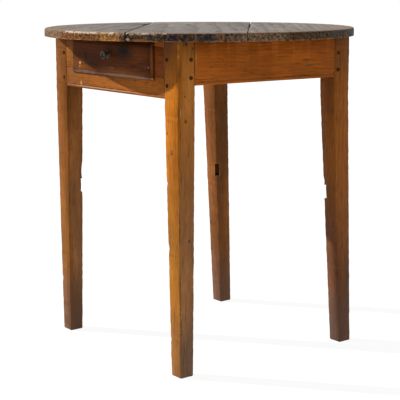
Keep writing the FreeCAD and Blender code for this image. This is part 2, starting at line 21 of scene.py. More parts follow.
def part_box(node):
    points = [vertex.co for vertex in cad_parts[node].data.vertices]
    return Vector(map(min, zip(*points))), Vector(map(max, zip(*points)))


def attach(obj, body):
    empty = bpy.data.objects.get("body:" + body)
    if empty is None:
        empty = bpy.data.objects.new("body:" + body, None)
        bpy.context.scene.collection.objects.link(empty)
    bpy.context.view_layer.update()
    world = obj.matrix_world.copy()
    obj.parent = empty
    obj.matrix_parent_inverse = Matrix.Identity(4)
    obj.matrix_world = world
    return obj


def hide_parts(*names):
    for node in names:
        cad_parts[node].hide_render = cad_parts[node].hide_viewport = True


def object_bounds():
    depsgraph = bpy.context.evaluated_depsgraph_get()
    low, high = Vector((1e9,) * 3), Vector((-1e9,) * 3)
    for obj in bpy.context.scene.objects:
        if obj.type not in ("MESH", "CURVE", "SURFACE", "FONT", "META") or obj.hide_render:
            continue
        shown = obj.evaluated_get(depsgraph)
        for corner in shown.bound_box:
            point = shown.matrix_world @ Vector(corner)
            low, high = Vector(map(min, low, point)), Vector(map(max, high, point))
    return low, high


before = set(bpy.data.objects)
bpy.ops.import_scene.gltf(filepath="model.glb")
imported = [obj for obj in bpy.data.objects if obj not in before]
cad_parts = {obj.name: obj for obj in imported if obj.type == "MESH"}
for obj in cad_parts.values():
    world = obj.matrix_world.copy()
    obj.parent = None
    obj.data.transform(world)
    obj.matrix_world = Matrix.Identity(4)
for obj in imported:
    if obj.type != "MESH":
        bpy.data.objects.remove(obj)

CAD_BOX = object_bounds()
MM = 0.001
TINY = 1e-6  # metres; places closer than this are one
Colour = tuple[float, float, float]
Place = tuple[float, float, float]
Wire = bpy.types.NodeSocket
Node = bpy.types.Node
Tree = bpy.types.NodeTree
Material = bpy.types.Material
FLOOR_DIRT: Colour = (0.11, 0.075, 0.065)

log = logging.getLogger("tavern_table")


# ------------------------------------------------------------------ node sketching

class Sketch:
    """Adds nodes to one shader tree, so that a finish reads from top to bottom."""

    def __init__(self, tree: Tree) -> None:
        """Start on a tree.

        Args:
            tree: The node tree that the nodes go into.
        """
        self.tree = tree

    def node(self, kind: str, inputs: dict | None = None, **settings: object) -> Node:
        """Add one node.

        Args:
            kind: The node's type name.
            inputs: A number, colour, vector or socket for each input, by name or number.
            settings: The node's own properties.

        Returns:
            The new node.
        """
        made = self.tree.nodes.new(kind)
        for name, value in settings.items():
            setattr(made, name, value)
        for name, value in (inputs or {}).items():
            self.feed(made.inputs[name], value)
        return made

    def feed(self, socket: Wire, value: object) -> None:
        """Link a socket to an input, or set the input's own value.

        Args:
            socket: The input.
            value: A socket, a number, a vector or a colour of three parts.
        """
        if isinstance(value, Wire):
            self.tree.links.new(value, socket)
        elif socket.type == "RGBA":
            socket.default_value = (*value, 1.0)
        else:
            socket.default_value = value

    def group(self, tree: Tree, inputs: dict) -> Node:
        """Place a shared effect with this finish's own values."""
        return self.node("ShaderNodeGroup", inputs, node_tree=tree)

    def math(self, operation: str, first: object, second: object = 0.0,
             clamp: bool = False) -> Wire:
        """Work out one number.

        Args:
            operation: The Math node's operation.
            first: A number or socket.
            second: A number or socket.
            clamp: Whether the result stays between 0 and 1.

        Returns:
            The result's socket.
        """
        return self.node("ShaderNodeMath", {0: first, 1: second}, operation=operation,
                         use_clamp=clamp).outputs[0]

    def times(self, first: object, second: object, clamp: bool = False) -> Wire:
        """Multiply two numbers."""
        return self.math("MULTIPLY", first, second, clamp)

    def plus(self, first: object, second: object, clamp: bool = False) -> Wire:
        """Add two numbers."""
        return self.math("ADD", first, second, clamp)

    def minus(self, first: object, second: object, clamp: bool = False) -> Wire:
        """Take the second number from the first."""
        return self.math("SUBTRACT", first, second, clamp)

    def between(self, value: object, low: float, high: float, to_low: float = 0.0,
                to_high: float = 1.0) -> Wire:
        """Map a number smoothly from one span to another, held at both ends.

        Args:
            value: The number's socket.
            low: Where the first span starts; it may lie above its end.
            high: Where the first span ends.
            to_low: The result at its start.
            to_high: The result at its end.

        Returns:
            The result's socket.
        """
        made = self.node("ShaderNodeMapRange", {
            "Value": value, "From Min": low, "From Max": high, "To Min": to_low,
            "To Max": to_high}, interpolation_type="SMOOTHSTEP")
        return made.outputs["Result"]

    def mix(self, share: object, first: object, second: object, blend: str = "MIX") -> Wire:
        """Mix two colours.

        Args:
            share: How much of the second colour shows.
            first: A colour or socket.
            second: A colour or socket.
            blend: The Mix node's blend type.

        Returns:
            The mixed colour's socket.
        """
        return self.node("ShaderNodeMix", {0: share, 6: first, 7: second}, data_type="RGBA",
                         blend_type=blend).outputs[2]

    def shaded(self, colour: object, value: object) -> Wire:
        """Multiply a colour by a number."""
        grey = self.node("ShaderNodeCombineColor", {"Red": value, "Green": value, "Blue": value})
        return self.mix(1.0, colour, grey.outputs[0], "MULTIPLY")

    def noise(self, where: object, scale: float, detail: float = 4.0,
              roughness: float = 0.55) -> Wire:
        """Read a noise at a place.

        Args:
            where: The place's socket.
            scale: Features per metre, roughly.
            detail: How many finer layers it has.
            roughness: How strong the finer layers are.

        Returns:
            The noise's value socket.
        """
        return self.node("ShaderNodeTexNoise", {
            "Vector": where, "Scale": scale, "Detail": detail,
            "Roughness": roughness}).outputs[0]

    def moved(self, where: object, move: Place = (0, 0, 0), turn: Place = (0, 0, 0),
              scale: Place = (1, 1, 1)) -> Wire:
        """Scale, turn and move a place with a Mapping node.

        Args:
            where: The place's socket.
            move: Metres along each axis, after the turn.
            turn: Radians about X, then Y, then Z.
            scale: Stretch along each axis, before the turn.

        Returns:
            The new place's socket.
        """
        return self.node("ShaderNodeMapping", {
            "Vector": where, "Location": move, "Rotation": turn,
            "Scale": scale}).outputs[0]

    def ramp(self, value: object, stops: Sequence[tuple[float, Colour]]) -> Wire:
        """Read a colour from a row of stops.

        Args:
            value: The place along the row.
            stops: Each stop's place and colour, in rising order.

        Returns:
            The colour's socket.
        """
        made = self.node("ShaderNodeValToRGB", {"Fac": value})
        elements = made.color_ramp.elements
        for element, (place, colour) in ((elements[1], stops[-1]), (elements[0], stops[0])):
            element.position = place
            element.color = (*colour, 1.0)
        for place, colour in stops[1:-1]:
            elements.new(place).color = (*colour, 1.0)
        return made.outputs["Color"]

    def parts(self, where: object) -> Node:
        """Split a place or direction into its X, Y and Z."""
        return self.node("ShaderNodeSeparateXYZ", {"Vector": where})


# ------------------------------------------------------------------ shared effects

def new_effect(name: str, inputs: dict[str, float | Place],
               outputs: Sequence[str] = ("Mask",)) -> tuple[Sketch, dict[str, Wire], Node]:
    """Start a shader node group for an effect that several finishes share.

    Args:
        name: The group's name.
        inputs: The first value of each input: a number, or three for a vector.
        outputs: The names of the numbers that it puts out.

    Returns:
        A sketch of the group, its input sockets by name and its output node.
    """
    tree = bpy.data.node_groups.new(name, "ShaderNodeTree")
    for label, value in inputs.items():
        kind = "NodeSocketVector" if isinstance(value, tuple) else "NodeSocketFloat"
        tree.interface.new_socket(label, in_out="INPUT", socket_type=kind).default_value = value
    for label in outputs:
        tree.interface.new_socket(label, in_out="OUTPUT", socket_type="NodeSocketFloat")
    entry = tree.nodes.new("NodeGroupInput")
    leave = tree.nodes.new("NodeGroupOutput")
    return Sketch(tree), {label: entry.outputs[label] for label in inputs}, leave


class Effects:
    """The effects that more than one finish uses, each built once as a node group."""

    def __init__(self) -> None:
        """Build the groups."""
        self.grain = self.build_grain()
        self.edge_wear = self.build_edge_wear()
        self.crevices = self.build_crevices()
        self.mark = self.build_mark()
        self.holes = self.build_holes()

    @staticmethod
    def build_grain() -> Tree:
        """Growth rings and fibres of a sawn board whose grain runs along its local Z.

        Returns:
            The group's tree.
        """
        sketch, given, leave = new_effect(
            "wood_grain", {"Vector": (0, 0, 0), "Ring Scale": 60.0, "Waviness": 4.0,
                           "Fibre Scale": 900.0}, ("Rings", "Fibre", "Height"))
        slow = sketch.moved(given["Vector"], scale=(1.0, 1.0, 0.09))
        rings = sketch.node("ShaderNodeTexWave", {
            "Vector": slow, "Scale": given["Ring Scale"], "Distortion": given["Waviness"],
            "Detail": 3.0, "Detail Scale": 0.35, "Detail Roughness": 0.55},
            wave_type="RINGS", rings_direction="Z", wave_profile="SAW").outputs["Fac"]
        late = sketch.between(rings, 0.35, 1.0)
        thin = sketch.moved(given["Vector"], scale=(1.0, 1.0, 0.035))
        fibre = sketch.between(sketch.noise(
            thin, given["Fibre Scale"], detail=3.0, roughness=0.65), 0.3, 0.7)
        sketch.feed(leave.inputs["Rings"], late)
        sketch.feed(leave.inputs["Fibre"], fibre)
        sketch.feed(leave.inputs["Height"],
                    sketch.plus(sketch.times(late, 0.6), sketch.times(fibre, 0.4)))
        return sketch.tree

    @staticmethod
    def build_edge_wear() -> Tree:
        """Broken line of wear along outer edges.

        Returns:
            The group's tree.
        """
        sketch, given, leave = new_effect(
            "edge_wear", {"Vector": (0, 0, 0), "Reach": 0.003, "Breaks": 60.0, "Amount": 0.5})
        rounded = sketch.node("ShaderNodeBevel", {"Radius": given["Reach"]}, samples=6)
        facing = sketch.node("ShaderNodeNewGeometry").outputs["Normal"]
        likeness = sketch.node("ShaderNodeVectorMath", {
            0: rounded.outputs[0], 1: facing}, operation="DOT_PRODUCT")
        edge = sketch.between(likeness.outputs["Value"], 0.995, 0.90)
        breaks = sketch.noise(given["Vector"], given["Breaks"], detail=5.0, roughness=0.6)
        worn = sketch.times(edge, sketch.between(breaks, 0.38, 0.62))
        sketch.feed(leave.inputs["Mask"], sketch.times(worn, given["Amount"], clamp=True))
        return sketch.tree

    @staticmethod
    def build_crevices() -> Tree:
        """Darkening of corners and joints, found by ambient occlusion: dirt, and also painted
        shade.

        Returns:
            The group's tree.
        """
        sketch, given, leave = new_effect("crevice_dirt_and_shade", {"Reach": 0.012, "Amount": 0.6})
        openness = sketch.node("ShaderNodeAmbientOcclusion", {"Distance": given["Reach"]},
                               samples=6).outputs["AO"]
        shut = sketch.between(openness, 0.75, 0.25)
        sketch.feed(leave.inputs["Mask"], sketch.times(shut, given["Amount"], clamp=True))
        return sketch.tree

    @staticmethod
    def build_mark() -> Tree:
        """One ragged oval mark, such as a knot, a stain, a scratch, a painted highlight or
        painted shade.

        Returns:
            The group's tree.
        """
        sketch, given, leave = new_effect(
            "mark", {"Vector": (0, 0, 0), "Middle": (0, 0, 0), "Half Size": (0.01, 0.01, 0.01),
                     "Turn": 0.0, "Ragged": 0.3, "Soft": 0.4, "Amount": 1.0})
        away = sketch.node("ShaderNodeVectorMath", {
            0: given["Vector"], 1: given["Middle"]}, operation="SUBTRACT")
        along = sketch.node("ShaderNodeVectorRotate", {
            "Vector": away.outputs[0], "Angle": given["Turn"]}, rotation_type="Z_AXIS")
        share = sketch.node("ShaderNodeVectorMath", {
            0: along.outputs[0], 1: given["Half Size"]}, operation="DIVIDE")
        length = sketch.node("ShaderNodeVectorMath", {0: share.outputs[0]}, operation="LENGTH")
        rough = sketch.minus(sketch.noise(given["Vector"], 160.0, roughness=0.6), 0.5)
        pushed = sketch.times(sketch.times(rough, given["Ragged"]), 4.0)
        inside = sketch.minus(1.0, sketch.plus(length.outputs["Value"], pushed))
        fade = sketch.math("DIVIDE", inside, given["Soft"], clamp=True)
        sketch.feed(leave.inputs["Mask"], sketch.times(fade, given["Amount"]))
        return sketch.tree

    @staticmethod
    def build_holes() -> Tree:
        """Scattered flight holes of wood beetle.

        Returns:
            The group's tree.
        """
        sketch, given, leave = new_effect(
            "beetle_holes", {"Vector": (0, 0, 0), "Scale": 30.0, "Radius": 0.001, "Share": 0.3})
        cells = sketch.node("ShaderNodeTexVoronoi", {
            "Vector": given["Vector"], "Scale": given["Scale"]}, feature="F1")
        near = sketch.math("LESS_THAN", cells.outputs["Distance"],
                           sketch.times(given["Radius"], given["Scale"]))
        tint = sketch.node("ShaderNodeSeparateColor", {"Color": cells.outputs["Color"]})
        chosen = sketch.math("LESS_THAN", tint.outputs[0], given["Share"])
        sketch.feed(leave.inputs["Mask"], sketch.times(near, chosen))
        return sketch.tree


# ------------------------------------------------------------------ finishes

class Coat(Sketch):
    """The tree of one finish, with its shader, its object's coordinates and the effects."""

    def __init__(self, name: str, effects: Effects, specular: float) -> None:
        """Start a material with its Principled shader.

        Args:
            name: The material's name.
            effects: The shared effects.
            specular: How strongly its plain surface mirrors, where 0.5 is a varnish.
        """
        self.material = bpy.data.materials.new(name)
        self.material.use_nodes = True
        super().__init__(self.material.node_tree)
        self.effects = effects
        self.shader = next(node for node in self.tree.nodes if node.type == "BSDF_PRINCIPLED")
        self.shader.inputs["Specular IOR Level"].default_value = specular
        self.here = self.node("ShaderNodeTexCoord").outputs["Object"]

    def wear(self, reach: float, breaks: float, amount: float) -> Wire:
        """Mask the worn outer edges.

        Args:
            reach: How far in from the edge the wear goes.
            breaks: How many breaks it has in a metre.
            amount: How strong it is.

        Returns:
            The mask.
        """
        return self.group(self.effects.edge_wear, {
            "Vector": self.here, "Reach": reach, "Breaks": breaks,
            "Amount": amount}).outputs["Mask"]

    def crevices(self, reach: float, amount: float) -> Wire:
        """Mask the corners that ambient occlusion finds, by their reach and strength: dirt and
        painted shade.
        """
        return self.group(self.effects.crevices, {
            "Reach": reach, "Amount": amount}).outputs["Mask"]

    def finish(self, colour: Wire, roughness: Wire, height: Wire, strength: float,
               depth: float) -> Material:
        """Feed the shader.

        Args:
            colour: The surface's colour.
            roughness: Its roughness.
            height: The height of its fine relief.
            strength: How strongly the relief shows, where 1 is as deep as it is.
            depth: How deep the relief is, in metres.

        Returns:
            The material.
        """
        self.feed(self.shader.inputs["Base Color"], colour)
        self.feed(self.shader.inputs["Roughness"], roughness)
        bump = self.node("ShaderNodeBump", {
            "Height": height, "Strength": strength, "Distance": depth})
        self.feed(self.shader.inputs["Normal"], bump.outputs[0])
        return self.material


class Grain(Enum):
    """Which way a board's grain runs; each value is the turns that bring it to local Z."""

    UP = ((0.0, 0.0, 0.0),)
    ACROSS = ((0.0, -math.pi / 2, 0.0),)
    DEEP = ((math.pi / 2, 0.0, 0.0),)
    SEAMS = ((0.0, 0.0, -math.radians(51.0)), (math.pi / 2, 0.0, 0.0))

    def along(self, coat: Coat, shift: Place) -> Wire:
        """Turn the object's coordinates so that the grain runs along Z.

        Args:
            coat: The finish's tree.
            shift: Where the board lay in its log, in metres.

        Returns:
            The turned place's socket.
        """
        where = coat.here
        for turn in self.value:
            where = coat.moved(where, turn=turn)
        return coat.moved(where, move=shift, turn=(0.012, 0.008, 0.0))


@dataclass(frozen=True)
class Mark:
    """A knot, stain, scratch or streak at one place of a piece, in millimetres; some marks paint
    light, shade or a highlight.
    """

    place: Place
    half_size: Place
    colour: Colour
    amount: float = 0.9
    ragged: float = 0.15
    soft: float = 0.5
    degrees: float = 0.0

    def over(self, coat: Coat, colour: Wire) -> Wire:
        """Lay the mark over a colour.

        Args:
            coat: The finish's tree.
            colour: What lies under the mark.

        Returns:
            The colour with the mark on it.
        """
        mask = coat.group(coat.effects.mark, {
            "Vector": coat.here, "Middle": [part * MM for part in self.place],
            "Half Size": [part * MM for part in self.half_size],
            "Turn": -math.radians(self.degrees), "Ragged": self.ragged, "Soft": self.soft,
            "Amount": self.amount})
        return coat.mix(mask.outputs["Mask"], colour, self.colour)


@dataclass(frozen=True)
class Pine:
    """Old pine with its wax, wear, dirt and marks, and painted shade in its corners and at its
    upper end.
    """

    early: Colour
    late: Colour
    worn: Colour
    dirt: Colour
    ring_scale: float = 42.0
    ring_share: float = 0.45
    fibre_shades: tuple[float, float] = (0.80, 1.14)
    blotch: float = 0.35
    blotch_scale: float = 14.0
    blotch_span: tuple[float, float] = (0.32, 0.68)
    open_grain: float = 0.6
    pore_scale: float = 260.0
    pore_span: tuple[float, float] = (0.53, 0.70)
    low_tone: Colour = (1.0, 1.0, 1.0)
    height_spread: float = 0.12
    low_span: tuple[float, float] = (0.66, 0.26)
    foot_span: tuple[float, float] = (0.26, 0.07)
    # Heights over which the upper end is darkened as painted shade under the top.
    painted_shade_under_top_span: tuple[float, float] = (0.65, 0.80)
    wear: float = 0.6
    wear_reach: float = 3.5 * MM
    wear_breaks: float = 55.0
    # The occluded corners darken with dirt and painted shade.
    crevice_amount: float = 0.75
    crevice_reach: float = 10 * MM
    holes: float = 0.12
    hole_radius: float = 0.9 * MM
    hole_scale: float = 34.0
    roughness: float = 0.52
    gloss_spread: float = 0.12
    bump: float = 0.35
    bump_depth: float = 0.6 * MM
    specular: float = 0.07

    def material(self, name: str, effects: Effects, grain: Grain, cut: float = 0.0,
                 tints_and_painted_light: Sequence[Mark] = (), marks: Sequence[Mark] = (), foot_dirt: float = 0.0,
                 painted_shade_under_top: float = 0.0) -> Material:
        """Make the material of one board.

        Args:
            name: The material's name.
            effects: The shared effects.
            grain: Which way the grain runs.
            cut: A number that gives each board its own figure.
            tints_and_painted_light: Broad stretches of another tone, which the open grain still
                shows through; some are painted light and some painted shade.
            marks: What the board bears at known places.
            foot_dirt: How much floor dirt lies on its lower end.
            painted_shade_under_top: How much its upper end is darkened, as painted shade under
                the table's top.

        Returns:
            The material.
        """
        coat = Coat(name, effects, self.specular)
        local = grain.along(coat, (0.055 + 0.031 * math.sin(cut * 2.4),
                                   0.04 + 0.023 * math.cos(cut * 1.7), 0.37 * cut))
        figure = coat.group(effects.grain, {
            "Vector": local, "Ring Scale": self.ring_scale, "Waviness": 5.0})
        colour = coat.mix(coat.times(figure.outputs["Rings"], self.ring_share),
                          self.early, self.late)
        for tint in tints_and_painted_light:
            colour = tint.over(coat, colour)
        colour = coat.shaded(colour, coat.between(
            figure.outputs["Fibre"], 0.0, 1.0, *self.fibre_shades))
        broad = coat.noise(coat.moved(local, scale=(1.0, 1.0, 0.25)), self.blotch_scale,
                           detail=3.0)
        colour = coat.shaded(colour, coat.between(
            broad, *self.blotch_span, 1.0 - self.blotch, 1.0 + self.blotch * 0.45))
        pores = coat.noise(coat.moved(local, scale=(1.0, 1.0, 0.07)), self.pore_scale,
                           roughness=0.62)
        colour = coat.mix(coat.between(pores, *self.pore_span, 0.0, self.open_grain),
                          colour, self.dirt)
        height = coat.plus(coat.parts(coat.here).outputs["Z"],
                           coat.times(coat.noise(coat.here, 30.0), self.height_spread))
        colour = coat.mix(coat.between(height, *self.low_span), colour,
                          coat.mix(1.0, colour, self.low_tone, "MULTIPLY"))
        colour = coat.mix(coat.wear(self.wear_reach, self.wear_breaks, self.wear),
                          colour, self.worn)
        # Dirt and painted shade in the corners that ambient occlusion finds.
        dirt = coat.crevices(self.crevice_reach, self.crevice_amount)
        colour = coat.mix(dirt, colour, self.dirt)
        # Floor dirt on the lower end, and painted shade on the upper end under the top.
        for amount, span, tone in ((foot_dirt, self.foot_span, FLOOR_DIRT),
                                   (painted_shade_under_top, self.painted_shade_under_top_span, self.dirt)):
            if amount > 0.0:
                share = coat.times(coat.between(height, *span), amount)
                colour = coat.mix(share, colour, tone)
        for mark in marks:
            colour = mark.over(coat, colour)
        pits = coat.group(effects.holes, {
            "Vector": coat.here, "Scale": self.hole_scale, "Radius": self.hole_radius,
            "Share": self.holes}).outputs["Mask"]
        gloss = coat.plus(self.roughness - self.gloss_spread / 2,
                          coat.times(broad, self.gloss_spread))
        return coat.finish(coat.mix(pits, colour, self.dirt),
                           coat.plus(gloss, coat.times(dirt, 0.25), clamp=True),
                           coat.minus(figure.outputs["Height"], pits), self.bump,
                           self.bump_depth)


@dataclass(frozen=True)
class RimZone:
    """How the rim has worn at one place round the top, given as a share of a full turn; its wood
    colour is partly painted shade.
    """

    place: float
    paint: float
    pale_edge: float
    wood: Colour


@dataclass(frozen=True)
class WeatheredTop:
    """Bare weathered boards, with the remains of dark paint on the rim."""

    # ash and dust are lightened as painted sheen, in place of the mirroring that the low specular
    # leaves out.
    ash_and_sheen: Colour = (0.215, 0.195, 0.178)
    umber: Colour = (0.105, 0.076, 0.057)
    dust_and_sheen: Colour = (0.38, 0.36, 0.34)
    rim_tan: Colour = (0.26, 0.165, 0.11)
    paint: Colour = (0.026, 0.020, 0.016)
    blue_paint: Colour = (0.018, 0.026, 0.042)
    chipped: Colour = (0.66, 0.55, 0.47)
    split: Colour = (0.48, 0.24, 0.09)
    under: Colour = (0.26, 0.155, 0.075)
    # Near-black for the occluded cracks and seams: dirt and painted shade.
    crevice: Colour = (0.012, 0.010, 0.009)
    ring_scale: float = 30.0
    fibre_scale: float = 700.0
    fibre_shades: tuple[float, float] = (0.75, 1.15)
    streak_scale: float = 26.0
    blotch_scale: float = 7.0
    patch_scale: float = 210.0
    patch_shades: tuple[float, float] = (0.32, 1.7)
    flake_scale: float = 130.0
    fleck_scale: float = 170.0
    roughness: tuple[float, float] = (0.48, 0.66)
    radius: float = 362.5 * MM
    upper: float = 750 * MM
    lower: float = 731 * MM
    tan_reach: float = 70 * MM
    edge_reach: tuple[float, float] = (8 * MM, 3 * MM)
    edge_drop: tuple[float, float] = (6.5 * MM, 3 * MM)
    split_rise: tuple[float, float] = (2.6 * MM, 1.2 * MM)
    crevice_reach: float = 6 * MM
    bump_depth: float = 0.9 * MM
    specular: float = 0.02
    # The dark wood of the zones from 0.99 round to 0.11, where the rim faces away from the key
    # light, is partly painted shade.
    zones: tuple[RimZone, ...] = (
        RimZone(0.000, 0.40, 0.15, (0.088, 0.048, 0.020)),
        RimZone(0.050, 0.40, 0.10, (0.070, 0.052, 0.038)),
        RimZone(0.110, 0.42, 0.20, (0.072, 0.056, 0.042)),
        RimZone(0.180, 0.35, 0.25, (0.110, 0.080, 0.060)),
        RimZone(0.400, 0.35, 0.30, (0.110, 0.080, 0.060)),
        RimZone(0.620, 0.10, 0.20, (0.170, 0.120, 0.080)),
        RimZone(0.735, 0.10, 0.30, (0.190, 0.105, 0.055)),
        RimZone(0.750, 0.30, 0.95, (0.165, 0.062, 0.018)),
        RimZone(0.795, 0.34, 1.00, (0.170, 0.066, 0.020)),
        RimZone(0.805, 0.18, 0.85, (0.420, 0.195, 0.055)),
        RimZone(0.822, 0.18, 0.85, (0.380, 0.170, 0.050)),
        RimZone(0.825, 0.58, 0.70, (0.080, 0.056, 0.040)),
        RimZone(0.840, 0.62, 0.85, (0.150, 0.080, 0.042)),
        RimZone(0.895, 0.64, 0.45, (0.150, 0.080, 0.042)),
        RimZone(0.925, 0.50, 0.20, (0.170, 0.106, 0.072)),
        RimZone(0.945, 0.32, 0.30, (0.215, 0.138, 0.084)),
        RimZone(0.978, 0.36, 0.30, (0.185, 0.118, 0.070)),
        RimZone(0.990, 0.42, 0.15, (0.088, 0.048, 0.020)))

    def material(self, name: str, effects: Effects, cut: float,
                 marks: Sequence[Mark]) -> Material:
        """Make the material of one board of the top.

        Args:
            name: The material's name.
            effects: The shared effects.
            cut: A number that gives each board its own figure.
            marks: What the board bears at known places.

        Returns:
            The material.
        """
        coat = Coat(name, effects, self.specular)
        local = Grain.SEAMS.along(coat, (0.02 + 0.05 * cut, 0.06, 0.4 * cut))
        figure = coat.group(effects.grain, {
            "Vector": local, "Ring Scale": self.ring_scale, "Waviness": 6.0,
            "Fibre Scale": self.fibre_scale})
        streaks = coat.noise(coat.moved(local, scale=(1.0, 1.0, 0.12)), self.streak_scale,
                             detail=5.0, roughness=0.65)
        colour = self.face_colour(coat, figure, streaks)
        rim, pale_edge = self.rim_colour(coat, figure)
        upward = coat.parts(coat.node("ShaderNodeNewGeometry").outputs["Normal"]).outputs["Z"]
        beyond = coat.node("ShaderNodeVectorMath", {
            0: coat.moved(coat.here, scale=(1.0, 1.0, 0.0))},
            operation="LENGTH").outputs["Value"]
        colour = coat.mix(coat.between(
            beyond, self.radius - self.tan_reach, self.radius, 0.0, 0.6), colour, self.rim_tan)
        colour = coat.mix(coat.between(coat.math("ABSOLUTE", upward), 0.8, 0.35), colour, rim)
        colour = coat.mix(coat.between(upward, -0.5, -0.9), colour, self.under)
        colour = self.break_edge(coat, beyond, pale_edge, colour)
        for mark in marks:
            colour = mark.over(coat, colour)
        # Dirt and painted shade in the occluded cracks and seams.
        dirt = coat.crevices(self.crevice_reach, 0.9)
        return coat.finish(coat.mix(dirt, colour, self.crevice),
                           coat.between(streaks, 0.3, 0.7, *self.roughness),
                           figure.outputs["Height"], 0.6, self.bump_depth)

    def face_colour(self, coat: Coat, figure: Node, streaks: Wire) -> Wire:
        """Colour the face: grey wood with dark rings, dusty streaks and dark blotches; the grey
        and the dust are lightened as painted sheen.

        Args:
            coat: The finish's tree.
            figure: The grain group's node.
            streaks: Long streaks along the grain.

        Returns:
            The face's colour.
        """
        colour = coat.mix(coat.times(figure.outputs["Rings"], 0.6), self.ash_and_sheen, self.umber)
        colour = coat.mix(coat.between(streaks, 0.45, 0.72, 0.0, 0.65), colour, self.dust_and_sheen)
        blotches = coat.noise(coat.here, self.blotch_scale, roughness=0.6)
        colour = coat.mix(coat.between(blotches, 0.5, 0.75, 0.0, 0.7), colour, self.umber)
        return coat.shaded(colour, coat.between(
            figure.outputs["Fibre"], 0.0, 1.0, *self.fibre_shades))

    def rim_colour(self, coat: Coat, figure: Node) -> tuple[Wire, Wire]:
        """Colour the rim by zones, with paint that has flaked off in patches; the zones' wood is
        partly painted shade where the rim faces away from the key light.

        Args:
            coat: The finish's tree.
            figure: The grain group's node.

        Returns:
            The rim's colour, and how pale its broken edge is.
        """
        parts = coat.parts(coat.here)
        angle = coat.math("ARCTAN2", parts.outputs["Y"], parts.outputs["X"])
        turns = coat.math("FRACT", coat.math("DIVIDE", angle, 2.0 * math.pi))
        wood = coat.ramp(turns, [(zone.place, zone.wood) for zone in self.zones])
        state = coat.node("ShaderNodeSeparateColor", {"Color": coat.ramp(turns, [
            (zone.place, (zone.paint, zone.pale_edge, 0.0)) for zone in self.zones])})
        colour = coat.mix(coat.times(figure.outputs["Rings"], 0.5), wood, self.umber)
        patches = coat.noise(coat.here, self.patch_scale, roughness=0.7)
        colour = coat.shaded(colour, coat.between(patches, 0.38, 0.62, *self.patch_shades))
        flakes = coat.noise(coat.moved(coat.here, scale=(1.0, 1.0, 1.8)), self.flake_scale,
                            detail=6.0, roughness=0.72)
        lost = coat.minus(0.72, coat.times(state.outputs[0], 0.42))
        kept = coat.times(coat.minus(flakes, lost), 9.0, clamp=True)
        blue = coat.between(coat.noise(coat.here, 60.0), 0.5, 0.62)
        colour = coat.mix(kept, colour, coat.mix(blue, self.paint, self.blue_paint))
        start, end = self.split_rise
        low = coat.between(parts.outputs["Z"], self.lower + start, self.lower + end)
        ragged = coat.between(coat.noise(coat.here, 90.0), 0.42, 0.56, 0.0, 0.6)
        return coat.mix(coat.times(low, ragged), colour, self.split), state.outputs[1]

    def break_edge(self, coat: Coat, beyond: Wire, pale_edge: Wire, colour: Wire) -> Wire:
        """Lay the bare wood of the broken upper edge over a colour.

        Args:
            coat: The finish's tree.
            beyond: The distance from the top's axis.
            pale_edge: How much of the edge is broken.
            colour: What lies under it.

        Returns:
            The colour with the broken edge.
        """
        outer = coat.between(beyond, *(self.radius - reach for reach in self.edge_reach))
        high = coat.between(coat.parts(coat.here).outputs["Z"],
                            *(self.upper - drop for drop in self.edge_drop))
        flecks = coat.noise(coat.here, self.fleck_scale, detail=5.0, roughness=0.7)
        least = coat.minus(0.80, coat.times(pale_edge, 0.36))
        broken = coat.times(coat.minus(flecks, least), 16.0, clamp=True)
        bare = coat.mix(coat.between(coat.noise(coat.here, 260.0), 0.36, 0.54),
                        self.split, self.chipped)
        return coat.mix(coat.times(coat.times(outer, high), broken), colour, bare)


@dataclass(frozen=True)
class OldMetal:
    """Metal with a dark tarnish over it."""

    metal: Colour
    tarnish: Colour
    tarnished: float
    metallic: float
    roughness: float
    edge: Colour
    edge_amount: float = 0.6
    patch_scale: float = 320.0
    wear_reach: float = 1.2 * MM
    wear_breaks: float = 300.0
    crevice_reach: float = 4 * MM
    bump_depth: float = 0.3 * MM

    def material(self, name: str, effects: Effects) -> Material:
        """Make the material.

        Args:
            name: The material's name.
            effects: The shared effects.

        Returns:
            The material.
        """
        coat = Coat(name, effects, 0.5)
        patches = coat.noise(coat.here, self.patch_scale, detail=5.0, roughness=0.65)
        low = 0.62 - 0.4 * self.tarnished
        covered = coat.between(patches, low, low + 0.22)
        colour = coat.mix(covered, self.metal, self.tarnish)
        colour = coat.mix(coat.wear(self.wear_reach, self.wear_breaks, self.edge_amount),
                          colour, self.edge)
        colour = coat.mix(coat.crevices(self.crevice_reach, 0.8), colour, self.tarnish)
        bare = coat.minus(1.0, coat.times(covered, 0.7), clamp=True)
        coat.feed(coat.shader.inputs["Metallic"], coat.times(bare, self.metallic))
        roughness = coat.plus(coat.times(covered, 0.3), self.roughness, clamp=True)
        return coat.finish(colour, roughness, patches, 0.35, self.bump_depth)


# ------------------------------------------------------------------ bench tools

class Pick(Enum):
    """What an edit-mode choice picks."""

    VERTS = "VERT"
    EDGES = "EDGE"
    FACES = "FACE"


def extent(edge: bmesh.types.BMEdge, axis: int) -> float:
    """How far an edge reaches along an axis, which is 0, 1 or 2."""
    return abs(edge.verts[0].co[axis] - edge.verts[1].co[axis])


def upright(edge: bmesh.types.BMEdge) -> bool:
    """Whether an edge runs straight up, or nearly so."""
    return extent(edge, 2) > 0.99 * edge.calc_length()


def level_at(height: float) -> Callable[[bmesh.types.BMEdge], bool]:
    """Make a test for the edges that lie at one height."""
    return lambda edge: all(abs(vert.co.z - height) < TINY for vert in edge.verts)


